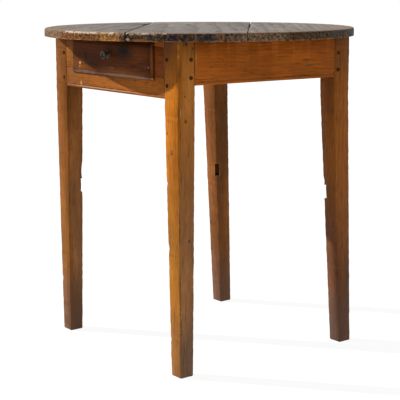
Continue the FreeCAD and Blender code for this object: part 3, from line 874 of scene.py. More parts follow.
class Workpiece:
    """One mesh on the bench, shaped with edit-mode operators and modifiers."""

    def __init__(self, name: str) -> None:
        """Take the primitive that was just added.

        Args:
            name: The piece's name.
        """
        self.piece = bpy.context.active_object
        self.piece.name = name
        self.piece.data.name = name
        bpy.ops.object.transform_apply(location=True, rotation=True, scale=True)

    @classmethod
    def block(cls, name: str, low: Place, high: Place) -> "Workpiece":
        """Start from a cube brought to its size and place.

        Args:
            name: The piece's name.
            low: Its lowest corner.
            high: Its highest corner.

        Returns:
            The workpiece.
        """
        bpy.ops.object.select_all(action="DESELECT")
        middle = [(a + b) / 2 for a, b in zip(low, high)]
        size = [b - a for a, b in zip(low, high)]
        bpy.ops.mesh.primitive_cube_add(size=1.0, location=middle)
        bpy.context.active_object.scale = size
        return cls(name)

    @classmethod
    def disc(cls, name: str, radius: float, low: float, high: float,
             steps: int) -> "Workpiece":
        """Start from a cylinder that stands on the Z axis.

        Args:
            name: The piece's name.
            radius: Its radius.
            low: Its underside.
            high: Its upper side.
            steps: How many sides it has.

        Returns:
            The workpiece.
        """
        bpy.ops.object.select_all(action="DESELECT")
        bpy.ops.mesh.primitive_cylinder_add(
            vertices=steps, radius=radius, depth=high - low, end_fill_type="NGON",
            location=(0.0, 0.0, (low + high) / 2))
        return cls(name)

    def alone(self) -> None:
        """Select this piece alone, and make it the active one."""
        bpy.ops.object.select_all(action="DESELECT")
        self.piece.select_set(True)
        bpy.context.view_layer.objects.active = self.piece

    @contextmanager
    def shaping(self) -> Iterator[None]:
        """Enter edit mode on this piece alone, and leave it again.

        Returns:
            The context, which gives nothing.
        """
        self.alone()
        bpy.ops.object.mode_set(mode="EDIT")
        yield
        bpy.ops.object.mode_set(mode="OBJECT")

    def pick(self, kind: Pick, test: Callable[[object], bool]) -> None:
        """Select what passes a test, and nothing else.

        Args:
            kind: Verts, edges or faces.
            test: Says whether a bmesh element is picked.
        """
        bpy.ops.mesh.select_mode(type=kind.value)
        bpy.ops.mesh.select_all(action="DESELECT")
        mesh = bmesh.from_edit_mesh(self.piece.data)
        for element in {Pick.VERTS: mesh.verts, Pick.EDGES: mesh.edges,
                        Pick.FACES: mesh.faces}[kind]:
            if test(element):
                element.select_set(True)
        mesh.select_flush_mode()
        bmesh.update_edit_mesh(self.piece.data)

    def slice_at(self, place: Place, normal: Place, clear_far: bool = False) -> None:
        """Cut all round along a plane, and drop what lies beyond it if asked.

        Args:
            place: A point of the plane.
            normal: The plane's direction.
            clear_far: Whether the side that the normal points to is cut off and closed.
        """
        bpy.ops.mesh.select_all(action="SELECT")
        bpy.ops.mesh.bisect(plane_co=place, plane_no=normal, use_fill=clear_far,
                            clear_outer=clear_far, threshold=TINY)

    def apply(self, kind: str, **settings: object) -> None:
        """Add a modifier and apply it.

        Args:
            kind: The modifier's type.
            settings: Its properties.
        """
        modifier = self.piece.modifiers.new(kind.lower(), kind)
        for name, value in settings.items():
            setattr(modifier, name, value)
        self.alone()
        bpy.ops.object.modifier_apply(modifier=modifier.name)

    def carve(self, cutter: "Workpiece") -> None:
        """Cut another workpiece's shape out of this one, and throw the cutter away.

        Args:
            cutter: The shape to cut out.
        """
        self.apply("BOOLEAN", operation="DIFFERENCE", object=cutter.piece, solver="EXACT")
        bpy.data.objects.remove(cutter.piece)

    def weigh(self, group: str, weight: Callable[[Vector], float]) -> None:
        """Give each vertex a weight in a vertex group.

        Args:
            group: The group's name.
            weight: The weight at a place.
        """
        chosen = self.piece.vertex_groups.new(name=group)
        for vertex in self.piece.data.vertices:
            amount = weight(vertex.co)
            if amount > 0.0:
                chosen.add([vertex.index], min(1.0, amount), "REPLACE")

    def erode(self, group: str, depth: float, feature: float) -> None:
        """Wear the surface away inwards, unevenly, where a vertex group says.

        Args:
            group: The vertex group.
            depth: The deepest wear.
            feature: The size of its unevenness.
        """
        pattern = bpy.data.textures.new(group, "CLOUDS")
        pattern.noise_scale = feature
        pattern.noise_depth = 3
        pattern.contrast = 1.6
        self.apply("DISPLACE", texture=pattern, texture_coords="LOCAL", vertex_group=group,
                   strength=depth, mid_level=0.5 + 0.5 * pattern.contrast, direction="NORMAL")
        bpy.data.textures.remove(pattern)

    def chip(self, chips: Sequence["Chip"]) -> None:
        """Push small hollows into the surface.

        Args:
            chips: Where they are, and which way and how far each goes in.
        """
        for chip in chips:
            middle = Vector(chip.place) * MM
            push = Vector(chip.inward).normalized() * chip.depth * MM
            reach = Vector(chip.half_size) * MM
            for vertex in self.piece.data.vertices:
                away = Vector((a / b for a, b in zip(vertex.co - middle, reach)))
                if away.length < 1.0:
                    vertex.co += push * (1.0 - away.length ** 2)

    def shade(self, degrees: float) -> None:
        """Shade smooth, but keep the edges that turn by more than some degrees sharp."""
        self.alone()
        bpy.ops.object.shade_smooth_by_angle(angle=math.radians(degrees))

    def face_outwards(self) -> None:
        """Merge doubles and turn every face outwards."""
        with self.shaping():
            bpy.ops.mesh.select_all(action="SELECT")
            bpy.ops.mesh.remove_doubles(threshold=TINY)
            bpy.ops.mesh.normals_make_consistent(inside=False)

    def mount(self, body: str, node: str, slot: str, material: Material,
              smooth: float = 35.0) -> None:
        """Finish the piece and put it in the place of its node.

        Args:
            body: The body that it moves with.
            node: The node that it stands for.
            slot: The record's material slot; not used.
            material: Its material.
            smooth: The angle above which its edges stay sharp.
        """
        self.face_outwards()
        self.shade(smooth)
        self.piece.data.materials.clear()
        self.piece.data.materials.append(material)
        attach(self.piece, body)
        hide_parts(node)
        log.info("modelled %s: %d faces", self.piece.name, len(self.piece.data.polygons))


@dataclass(frozen=True)
class Chip:
    """A small hollow broken out of an edge, in millimetres."""

    place: Place
    half_size: Place
    inward: Place
    depth: float


@dataclass(frozen=True)
class Crack:
    """An open crack in the upper face of the top, in millimetres."""

    start: tuple[float, float]
    end: tuple[float, float]
    width: float
    depth: float
    narrowing: tuple[tuple[float, float], ...] = ((0.55, 0.7), (0.8, 0.6), (0.95, 0.15))

    def cutter(self, upper: float, seed: int) -> Workpiece:
        """Make the crack's shape: a ragged blade that narrows to both ends and downwards.

        Args:
            upper: The height of the face that it opens in, in metres.
            seed: Which of the ragged shapes it has.

        Returns:
            The cutter.
        """
        run = Vector(self.end) - Vector(self.start)
        half, side = run.length / 2 * MM, self.width / 2 * MM
        blade = Workpiece.block("crack", (-half, -side, -self.depth * MM), (half, side, MM))
        with blade.shaping():
            blade.pick(Pick.EDGES, lambda edge: extent(edge, 0) > half)
            bpy.ops.mesh.subdivide(number_cuts=11)
            blade.pick(Pick.VERTS, lambda vert: abs(vert.co.x) < 0.95 * half)
            bpy.ops.transform.vertex_random(offset=side * 0.8, seed=seed)
            for reach, share in self.narrowing:
                blade.pick(Pick.VERTS, lambda vert: abs(vert.co.x) > reach * half)
                bpy.ops.transform.resize(value=(1.0, share, 1.0), center_override=(0, 0, 0))
            blade.pick(Pick.VERTS, lambda vert: vert.co.z < 0.0)
            bpy.ops.transform.resize(value=(1.0, 0.3, 1.0), center_override=(0, 0, 0))
        middle = (Vector(self.start) + Vector(self.end)) / 2 * MM
        turn = Matrix.Rotation(math.atan2(run.y, run.x), 4, "Z")
        blade.piece.data.transform(Matrix.Translation((middle.x, middle.y, upper)) @ turn)
        return blade


# ------------------------------------------------------------------ the round top

@dataclass
class RoundTop:
    """Three boards with a worn rim, open seams and a few cracks."""

    effects: Effects
    finish: WeatheredTop = WeatheredTop()
    seam_azimuth: float = 51.0
    seams: tuple[tuple[float, float], ...] = ((-139 * MM, 2.4 * MM), (118 * MM, 1.0 * MM))
    rim_steps: int = 720
    rim_round: float = 3.6 * MM
    rim_wear: float = 2.4 * MM
    wear_reach: float = 9 * MM
    wear_drop: float = 7 * MM
    row: float = 2.4 * MM
    seam_row: float = 2.6 * MM
    seam_cuts: int = 150
    seam_wear: float = 0.3
    sunken: tuple[float, float] = (-205 * MM, 73 * MM)
    crack_margin: float = 3 * MM
    mark_margin: float = 4 * MM
    wear_places: tuple[float, ...] = (0.0, 0.2, 0.55, 0.62, 0.70, 0.74, 0.83, 0.85, 0.9, 1.0)
    wear_shares: tuple[float, ...] = (0.35, 0.35, 0.5, 1.0, 1.0, 0.75, 0.75, 0.5, 0.45, 0.35)
    cracks: tuple[Crack, ...] = (
        Crack((-155, -98), (-230, 6), 5.0, 5.0), Crack((8, -248), (36, -214), 6.0, 5.0),
        Crack((-113, 36), (-119, 78), 3.0, 5.0), Crack((-118, 74), (-111, 117), 3.0, 5.0),
        Crack((48, 128), (62, 139), 3.0, 4.0), Crack((-40, -145), (-150, -57), 6.0, 5.0),
        Crack((-130, -72), (-232, 8), 6.0, 5.0))

    def __post_init__(self) -> None:
        """Read the top's size from the frame."""
        low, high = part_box("top_board_middle")
        self.underside, self.upper = low.z, high.z
        self.radius = CAD_BOX[1].x
        turn = math.radians(self.seam_azimuth)
        self.across = Vector((math.cos(turn), math.sin(turn), 0.0))

    def build(self) -> None:
        """Make and dress the three boards."""
        (left, left_gap), (right, right_gap) = self.seams
        self.board("left", -self.radius * 2, left - left_gap / 2, 1.0)
        self.board("middle", left + left_gap / 2, right - right_gap / 2, 2.3)
        self.board("right", right + right_gap / 2, self.radius * 2, 3.1)

    def board(self, hand: str, near: float, far: float, cut: float) -> None:
        """Make one board between two edges that are measured square to the seams.

        Args:
            hand: Left, middle or right.
            near: The edge on the low side.
            far: The edge on the high side.
            cut: A number that gives the board its own figure.
        """
        board = Workpiece.disc("worn_top_board_" + hand, self.radius, self.underside,
                               self.upper, self.rim_steps)
        with board.shaping():
            board.pick(Pick.EDGES, level_at(self.upper))
            bpy.ops.mesh.bevel(offset=self.rim_round, segments=4, profile=0.5)
            board.pick(Pick.EDGES, upright)
            bpy.ops.mesh.subdivide(number_cuts=5)
            board.pick(Pick.FACES, lambda face: face.normal.z > 0.9 and len(face.verts) > 60)
            for width in (self.row, self.row * 1.5, self.row * 2.5):
                bpy.ops.mesh.inset(thickness=width, use_even_offset=False)
            for seam, outwards in ((near, -self.across), (far, self.across)):
                if abs(seam) < self.radius:
                    self.part_at(board, seam, outwards)
        board.weigh("rim", self.rim_weight)
        board.erode("rim", self.rim_wear, self.wear_reach)
        for seed, crack in enumerate(self.cracks):
            if near - self.crack_margin < self.offset(crack.start) * MM < far + self.crack_margin:
                board.carve(crack.cutter(self.upper, seed))
        marks = [mark for mark in self.marks() if
                 near - self.mark_margin < self.offset(mark.place) * MM < far + self.mark_margin]
        board.mount("frame", "top_board_" + hand, "weathered_top",
                    self.finish.material("top_" + hand, self.effects, cut, marks), 50.0)

    def part_at(self, board: Workpiece, seam: float, outwards: Vector) -> None:
        """Cut the board off at a seam, with rows of short faces beside the cut.

        Args:
            board: The board, in edit mode.
            seam: Where the seam's edge lies, measured square to the seams.
            outwards: The direction of what is cut off.
        """
        board.slice_at(self.across * seam, outwards, True)
        board.slice_at(self.across * seam - outwards * self.seam_row, outwards)
        board.pick(Pick.EDGES, lambda edge: edge.calc_length() > 100 * MM and abs(
            edge.verts[0].co.dot(self.across) - seam) < 1.2 * self.seam_row)
        bpy.ops.mesh.subdivide(number_cuts=self.seam_cuts)

    def offset(self, place: Sequence[float]) -> float:
        """How far a place lies from the middle, measured square to the seams."""
        return self.across.x * place[0] + self.across.y * place[1]

    def rim_weight(self, place: Vector) -> float:
        """How much a place wears: most at the upper rim, less on the wall and along the seams.

        Args:
            place: The place.

        Returns:
            Its share of the deepest wear.
        """
        beyond = self.radius - math.hypot(place.x, place.y)
        high = max(0.0, 1.0 - (self.upper - place.z) / self.wear_drop)
        gaps = [place.dot(self.across) - seam for seam, _ in self.seams]
        along = self.seam_wear * high if min(map(abs, gaps)) < 0.9 * self.seam_row else 0.0
        start, end = self.sunken
        if along > 0.0 and 0.0 < gaps[0] and start < place.cross(self.across).z < end:
            along = high
        if beyond > self.wear_reach:
            return along
        turns = math.atan2(place.y, place.x) / (2.0 * math.pi) % 1.0
        share = float(np.interp(turns, self.wear_places, self.wear_shares))
        return max(along, share * (0.25 + 0.75 * high) * (1.0 - beyond / self.wear_reach))

    def on_rim(self, azimuth: float, height: float, along: float, up: float, colour: Colour,
               amount: float = 0.9, ragged: float = 0.15) -> Mark:
        """Make a mark on the rim.

        Args:
            azimuth: Where it lies round the top, in degrees.
            height: Its height, in millimetres.
            along: Half its length, in millimetres.
            up: Half its height, in millimetres.
            colour: Its colour.
            amount: How strongly it shows.
            ragged: How uneven its outline is.

        Returns:
            The mark.
        """
        turn, reach = math.radians(azimuth), self.radius / MM
        return Mark((reach * math.cos(turn), reach * math.sin(turn), height),
                    (along, along, up), colour, amount, ragged)

    def marks(self) -> list[Mark]:
        """Stains and knots of the upper face with dark streaks along its cracks (dirt and painted
        shade), and chips, stains and paint of the rim.

        Returns:
            The marks of all three boards.
        """
        dark, pale = (0.020, 0.016, 0.014), (0.64, 0.52, 0.45)
        blue, orange = (0.014, 0.024, 0.048), (0.34, 0.12, 0.035)
        # Dark streaks along the cracks: dirt, and painted shade of the cracks.
        face = [Mark((x, y, 750), (length, width, 6), dark, amount, 0.25, 0.6, degrees)
                for x, y, length, width, degrees, amount in (
                    (-182, -30, 78, 12, 141, 0.9), (-196, -42, 74, 12, 126, 0.9),
                    (23, -230, 26, 22, 50, 0.85), (-118, 52, 34, 10, 144, 0.85),
                    (-107, 112, 28, 10, 144, 0.8), (56, 136, 26, 10, 144, 0.75),
                    (-133, 320, 24, 12, 144, 0.8), (-66, -124, 26, 8, 141, 0.5))]
        chips = [self.on_rim(azimuth, 748.0, along, up, pale, 0.95, 0.9)
                 for azimuth, along, up in (
                     (273.0, 9, 2.6), (278.5, 5, 2.2), (284.5, 12, 2.4), (292.5, 9, 2.4),
                     (306.0, 11, 1.8), (312.5, 5, 1.6),
                     (320.2, 1.7, 1.4), (321.6, 1.2, 1.2), (322.6, 1.8, 1.4))]
        return face + chips + [
            self.on_rim(299.5, 747, 3.2, 6, dark),
            self.on_rim(299.4, 735.5, 5.5, 3.2, (0.50, 0.33, 0.25), 0.9, 0.1),
            self.on_rim(303.5, 734.0, 20, 3.2, orange, 0.8),
            self.on_rim(315.2, 741, 13, 6, blue, 0.8, 0.3),
            self.on_rim(326.5, 740, 15, 6, blue, 0.8, 0.3),
            self.on_rim(331.8, 741, 4, 10, orange, 0.85),
            self.on_rim(343.5, 746, 9, 2.4, orange, 0.7, 0.3),
            self.on_rim(348.5, 745, 8, 2.0, orange, 0.7, 0.3)]


# ------------------------------------------------------------------ legs

@dataclass
class Leg:
    """One tapered leg with worn arrises and the empty mortise of a lost stretcher."""

    effects: Effects
    end: str
    hand: str
    finish: Pine
    cut: float
    tints_and_painted_light: tuple[Mark, ...] = ()
    marks: tuple[Mark, ...] = ()
    chips: tuple[Chip, ...] = ()
    foot_dirt: float = 0.6
    # How strongly the upper end is darkened as painted shade under the top.
    painted_shade_under_top: float = 0.35
    taper_start: float = 598.5 * MM
    foot_plain: float = 5 * MM
    foot_round: float = 4 * MM
    arris: float = 2.2 * MM
    wear: float = 1.5 * MM
    wear_reach: float = 6 * MM
    wear_feature: float = 13 * MM
    row: float = 6 * MM
    mortise_width: float = 12 * MM
    mortise_low: float = 347.5 * MM
    mortise_high: float = 380.5 * MM
    mortise_depth: float = 24 * MM

    def __post_init__(self) -> None:
        """Read the leg's sections from its node."""
        self.node = "leg_%s_%s" % (self.end, self.hand)
        self.side_x = -1 if self.hand == "left" else 1
        self.side_y = -1 if self.end == "front" else 1
        self.top = self.section(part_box(self.node)[1].z)
        self.foot = self.section(self.foot_plain)

    def section(self, height: float) -> tuple[Vector, Vector]:
        """Lowest and highest corner of the node's vertices at one height.

        Args:
            height: The height.

        Returns:
            Both corners.
        """
        level = [vertex.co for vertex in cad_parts[self.node].data.vertices
                 if abs(vertex.co.z - height) < 0.05 * MM]
        low = Vector((min(v.x for v in level), min(v.y for v in level), height))
        high = Vector((max(v.x for v in level), max(v.y for v in level), height))
        return low, high

    def build(self) -> None:
        """Make and dress the leg."""
        low, high = self.top
        leg = Workpiece.block("worn_" + self.node, (low.x, low.y, 0.0), tuple(high))
        with leg.shaping():
            leg.slice_at((0, 0, self.taper_start), (0, 0, 1))
            leg.pick(Pick.VERTS, lambda vert: vert.co.z < TINY)
            self.taper_foot()
            leg.pick(Pick.EDGES, upright)
            bpy.ops.mesh.subdivide(number_cuts=round(high.z / self.row))
            leg.pick(Pick.EDGES, upright)
            bpy.ops.mesh.bevel(offset=self.arris, segments=2, profile=0.55)
            leg.pick(Pick.EDGES, level_at(0.0))
            bpy.ops.mesh.bevel(offset=self.foot_round, segments=4, profile=0.5)
        leg.weigh("arris", self.arris_weight)
        leg.erode("arris", self.wear, self.wear_feature)
        leg.chip(self.chips)
        leg.carve(self.mortise())
        leg.mount("frame", self.node, "pine_leg",
                  self.finish.material(self.node, self.effects, Grain.UP, self.cut, self.tints_and_painted_light,
                                       self.marks, self.foot_dirt, self.painted_shade_under_top))

    def taper_foot(self) -> None:
        """Bring the picked lower end to the foot's size and place."""
        top_low, top_high = self.top
        foot_low, foot_high = self.foot
        middle = (top_low + top_high) / 2
        ratio = [(foot_high[i] - foot_low[i]) / (top_high[i] - top_low[i]) for i in (0, 1)]
        bpy.ops.transform.resize(value=(ratio[0], ratio[1], 1.0),
                                 center_override=(middle.x, middle.y, 0.0))
        shift = (foot_low + foot_high) / 2 - middle
        bpy.ops.transform.translate(value=(shift.x, shift.y, 0.0))

    def corners_at(self, height: float) -> tuple[Vector, Vector]:
        """Lowest and highest corner of the leg's section at a height."""
        share = max(0.0, 1.0 - height / self.taper_start)
        return (self.top[0].lerp(self.foot[0], share), self.top[1].lerp(self.foot[1], share))

    def arris_weight(self, place: Vector) -> float:
        """How much a place wears: most on the four long edges.

        Args:
            place: The place.

        Returns:
            Its share of the deepest wear.
        """
        low, high = self.corners_at(place.z)
        near_x = min(abs(place.x - low.x), abs(place.x - high.x))
        near_y = min(abs(place.y - low.y), abs(place.y - high.y))
        return max(0.0, 1.0 - math.hypot(near_x, near_y) / self.wear_reach)

    def mortise(self) -> Workpiece:
        """Cutter of the empty mortise, set across the leg's inner corner.

        Returns:
            The cutter.
        """
        low, high = self.corners_at((self.mortise_low + self.mortise_high) / 2)
        inner_x = high.x if self.side_x < 0 else low.x
        inner_y = high.y if self.side_y < 0 else low.y
        half = self.mortise_width / 2
        cutter = Workpiece.block("mortise", (-self.mortise_depth, -half, self.mortise_low),
                                 (self.mortise_depth, half, self.mortise_high))
        turn = Matrix.Rotation(math.atan2(self.side_y, self.side_x), 4, "Z")
        cutter.piece.data.transform(Matrix.Translation((inner_x, inner_y, 0.0)) @ turn)
        return cutter


# ------------------------------------------------------------------ boards of the frame

@dataclass
class FrameBoard:
    """An apron, rail or stile, shaped as a front board and then turned to its own side."""

    effects: Effects
    node: str
    finish: Pine
    grain: Grain
    degrees: float
    face: float
    span: tuple[float, float]
    cut: float
    beaded: bool = True
    tenons: tuple[int, ...] = (-1, 1)
    tints_and_painted_light: tuple[Mark, ...] = ()
    marks: tuple[Mark, ...] = ()
    thickness: float = 22 * MM
    bead: float = 7 * MM
    quirk: float = 2 * MM
    arris: float = 0.9 * MM
    wear: float = 0.9 * MM
    wear_reach: float = 3 * MM
    wear_feature: float = 11 * MM
    bead_wear: float = 0.7
    row: float = 6 * MM
    tenon_thickness: float = 8 * MM
    tenon_shoulder: float = 10 * MM
    tenon_length: float = 28 * MM

    def __post_init__(self) -> None:
        """Read the board's height from its node."""
        self.low, self.high = (corner.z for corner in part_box(self.node))
        self.start, self.end = (place * MM for place in self.span)

    def build(self) -> None:
        """Make and dress the board."""
        board = Workpiece.block("worn_" + self.node, (self.start, 0.0, self.low),
                                (self.end, self.thickness, self.high))
        if self.beaded:
            board.carve(Workpiece.block(
                "quirk", (self.start - MM, -MM, self.low + self.bead),
                (self.end + MM, self.quirk, self.low + self.bead + self.quirk)))
        with board.shaping():
            if self.beaded:
                board.pick(Pick.EDGES, self.on_bead)
                bpy.ops.mesh.bevel(offset=0.4 * self.bead, segments=4, profile=0.5)
            board.pick(Pick.EDGES, self.on_arris)
            bpy.ops.mesh.bevel(offset=self.arris, segments=2, profile=0.5)
            board.pick(Pick.EDGES, self.lengthwise)
            bpy.ops.mesh.subdivide(number_cuts=round((self.end - self.start) / self.row))
            for side in self.tenons:
                self.draw_tenon(board, side)
        board.weigh("arris", self.arris_weight)
        board.erode("arris", self.wear, self.wear_feature)
        turn = math.radians(self.degrees)
        outwards = Vector((math.sin(turn), -math.cos(turn), 0.0)) * self.face * MM
        board.piece.data.transform(Matrix.Translation(outwards) @ Matrix.Rotation(turn, 4, "Z"))
        board.mount("frame", self.node, "pine_apron", self.finish.material(
            self.node, self.effects, self.grain, self.cut, self.tints_and_painted_light, self.marks))

    def lengthwise(self, edge: bmesh.types.BMEdge) -> bool:
        """Whether an edge runs the board's whole length."""
        return extent(edge, 0) > 0.9 * (self.end - self.start)

    def on_bead(self, edge: bmesh.types.BMEdge) -> bool:
        """Whether an edge is one of the two that the bead is rounded from."""
        return self.lengthwise(edge) and all(
            vert.co.y < TINY and vert.co.z < self.low + self.bead + TINY for vert in edge.verts)

    def on_arris(self, edge: bmesh.types.BMEdge) -> bool:
        """Whether an edge is one of the board's other long corners.

        Args:
            edge: The edge.

        Returns:
            Whether it is.
        """
        corner = any(abs(edge.verts[0].co.z - height) < TINY for height in (self.low, self.high))
        side = any(abs(edge.verts[0].co.y - depth) < TINY for depth in (0.0, self.thickness))
        return self.lengthwise(edge) and corner and side

    def draw_tenon(self, board: Workpiece, side: int) -> None:
        """Draw a tenon out of one end.

        Args:
            board: The board, in edit mode.
            side: -1 for the end on the low side, 1 for the other.
        """
        end = self.start if side < 0 else self.end
        middle = (self.low + self.high) / 2
        board.pick(Pick.FACES, lambda face: face.normal.x * side > 0.99)
        bpy.ops.mesh.extrude_region_move(TRANSFORM_OT_translate={"value": (0, 0, 0)})
        bpy.ops.transform.resize(
            value=(1.0, self.tenon_thickness / self.thickness,
                   1.0 - 2 * self.tenon_shoulder / (self.high - self.low)),
            center_override=(end, self.thickness / 2, middle))
        bpy.ops.mesh.extrude_region_move(
            TRANSFORM_OT_translate={"value": (side * self.tenon_length, 0, 0)})

    def arris_weight(self, place: Vector) -> float:
        """How much a place wears: the bead most, the other long corners less.

        Args:
            place: The place.

        Returns:
            Its share of the deepest wear.
        """
        if place.y > self.thickness / 2:
            return 0.0
        if self.beaded and place.z < self.low + self.bead + 0.5 * MM and place.y < self.quirk:
            return self.bead_wear
        near = min(place.z - self.low, self.high - place.z)
        return max(0.0, 1.0 - math.hypot(near, place.y) / self.wear_reach)


# ------------------------------------------------------------------ the drawer's front

@dataclass
class DrawerFront:
    """The lipped front: bevelled border, block behind the lip, groove and knob hole."""

    effects: Effects
    finish: Pine
    tints_and_painted_light: tuple[Mark, ...]
    marks: tuple[Mark, ...]
    border: float = 9 * MM
    border_depth: float = 6 * MM
    lip: float = 9 * MM
    block_half: float = 155 * MM
    block_low: float = 654.8 * MM
    block_high: float = 717.5 * MM
    groove_half: float = 146.5 * MM
    groove_low: float = 660.55 * MM
    groove_high: float = 666.05 * MM
    groove_depth: float = 5 * MM
    knob: tuple[float, float] = (-4 * MM, 693.75 * MM)
    knob_hole: float = 2.65 * MM
    arris: float = 0.8 * MM
    rows: tuple[tuple[int, float, int], ...] = ((0, 100 * MM, 70), (2, 30 * MM, 17))
    wear: float = 1.3 * MM
    wear_reach: float = 3 * MM
    wear_feature: float = 10 * MM
    field_wear: float = 0.12

    def __post_init__(self) -> None:
        """Read the front's box from its node."""
        self.low, self.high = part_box("drawer_front")

    def build(self) -> None:
        """Make and dress the front."""
        front = Workpiece.block("worn_drawer_front", tuple(self.low),
                                (self.high.x, self.low.y + self.lip, self.high.z))
        with front.shaping():
            front.pick(Pick.FACES, lambda face: face.normal.y < -0.9)
            bpy.ops.mesh.inset(thickness=self.border)
            front.pick(Pick.VERTS, lambda vert: vert.co.y < self.low.y + TINY
                       and self.to_edge(vert.co) < TINY)
            bpy.ops.transform.translate(value=(0, self.border_depth, 0))
            self.draw_block(front)
            for on_edge in (lambda place: place.y < self.low.y + TINY,
                            lambda place: self.to_edge(place) < TINY):
                front.pick(Pick.EDGES, lambda edge: all(
                    on_edge(vert.co) for vert in edge.verts))
                bpy.ops.mesh.bevel(offset=self.arris, segments=2, profile=0.5)
            for axis, shortest, cuts in self.rows:
                front.pick(Pick.EDGES, lambda edge: extent(edge, axis) > shortest)
                bpy.ops.mesh.subdivide(number_cuts=cuts)
        front.weigh("worn", self.wear_weight)
        front.erode("worn", self.wear, self.wear_feature)
        front.carve(Workpiece.block(
            "groove", (-self.groove_half, self.high.y - self.groove_depth, self.groove_low),
            (self.groove_half, self.high.y + MM, self.groove_high)))
        front.carve(self.drill())
        front.mount("drawer", "drawer_front", "pine_drawer_front", self.finish.material(
            "drawer_front", self.effects, Grain.ACROSS, 2.2, self.tints_and_painted_light, self.marks))

    def to_edge(self, place: Vector) -> float:
        """How far a place lies inside the lip's outline."""
        return min(self.high.x - abs(place.x), place.z - self.low.z, self.high.z - place.z)

    def draw_block(self, front: Workpiece) -> None:
        """Draw the block that fills the opening out of the lip's back.

        Args:
            front: The front, in edit mode.
        """
        middle = (self.low + self.high) / 2
        block_middle = (self.block_low + self.block_high) / 2
        front.pick(Pick.FACES, lambda face: face.normal.y > 0.9)
        bpy.ops.mesh.extrude_region_move(TRANSFORM_OT_translate={"value": (0, 0, 0)})
        bpy.ops.transform.resize(
            value=(self.block_half / self.high.x, 1.0,
                   (self.block_high - self.block_low) / (self.high.z - self.low.z)),
            center_override=tuple(middle))
        bpy.ops.transform.translate(value=(0, 0, block_middle - middle.z))
        bpy.ops.mesh.extrude_region_move(TRANSFORM_OT_translate={
            "value": (0, self.high.y - self.low.y - self.lip, 0)})

    def drill(self) -> Workpiece:
        """Cutter of the hole for the knob's shank.

        Returns:
            The cutter.
        """
        drill = Workpiece.disc("drill", self.knob_hole, -50 * MM, 50 * MM, 32)
        x, z = self.knob
        drill.piece.data.transform(Matrix.Translation((x, self.low.y, z))
                                   @ Matrix.Rotation(math.pi / 2, 4, "X"))
        return drill

    def wear_weight(self, place: Vector) -> float:
        """How much a place wears: the border's two edges most, the flat field a little.

        Args:
            place: The place.

        Returns:
            Its share of the deepest wear.
        """
        if place.y > self.low.y + self.lip + 0.1 * MM:
            return 0.0
        inside = self.to_edge(place)
        near = min(inside, abs(inside - self.border))
        return max(self.field_wear, 1.0 - near / self.wear_reach)


# ------------------------------------------------------------------ camera, light and floor

@dataclass(frozen=True)
class Sun:
    """A light of parallel rays."""

    name: str
    travel: Place
    strength: float
    colour: Colour
    spread: float

    def add(self) -> None:
        """Add the light to the scene."""
        data = bpy.data.lights.new(self.name, "SUN")
        data.energy = self.strength
        data.color = self.colour
        data.angle = math.radians(self.spread)
        sun = bpy.data.objects.new(self.name, data)
        bpy.context.scene.collection.objects.link(sun)
        sun.rotation_euler = Vector(self.travel).to_track_quat("-Z", "Y").to_euler()


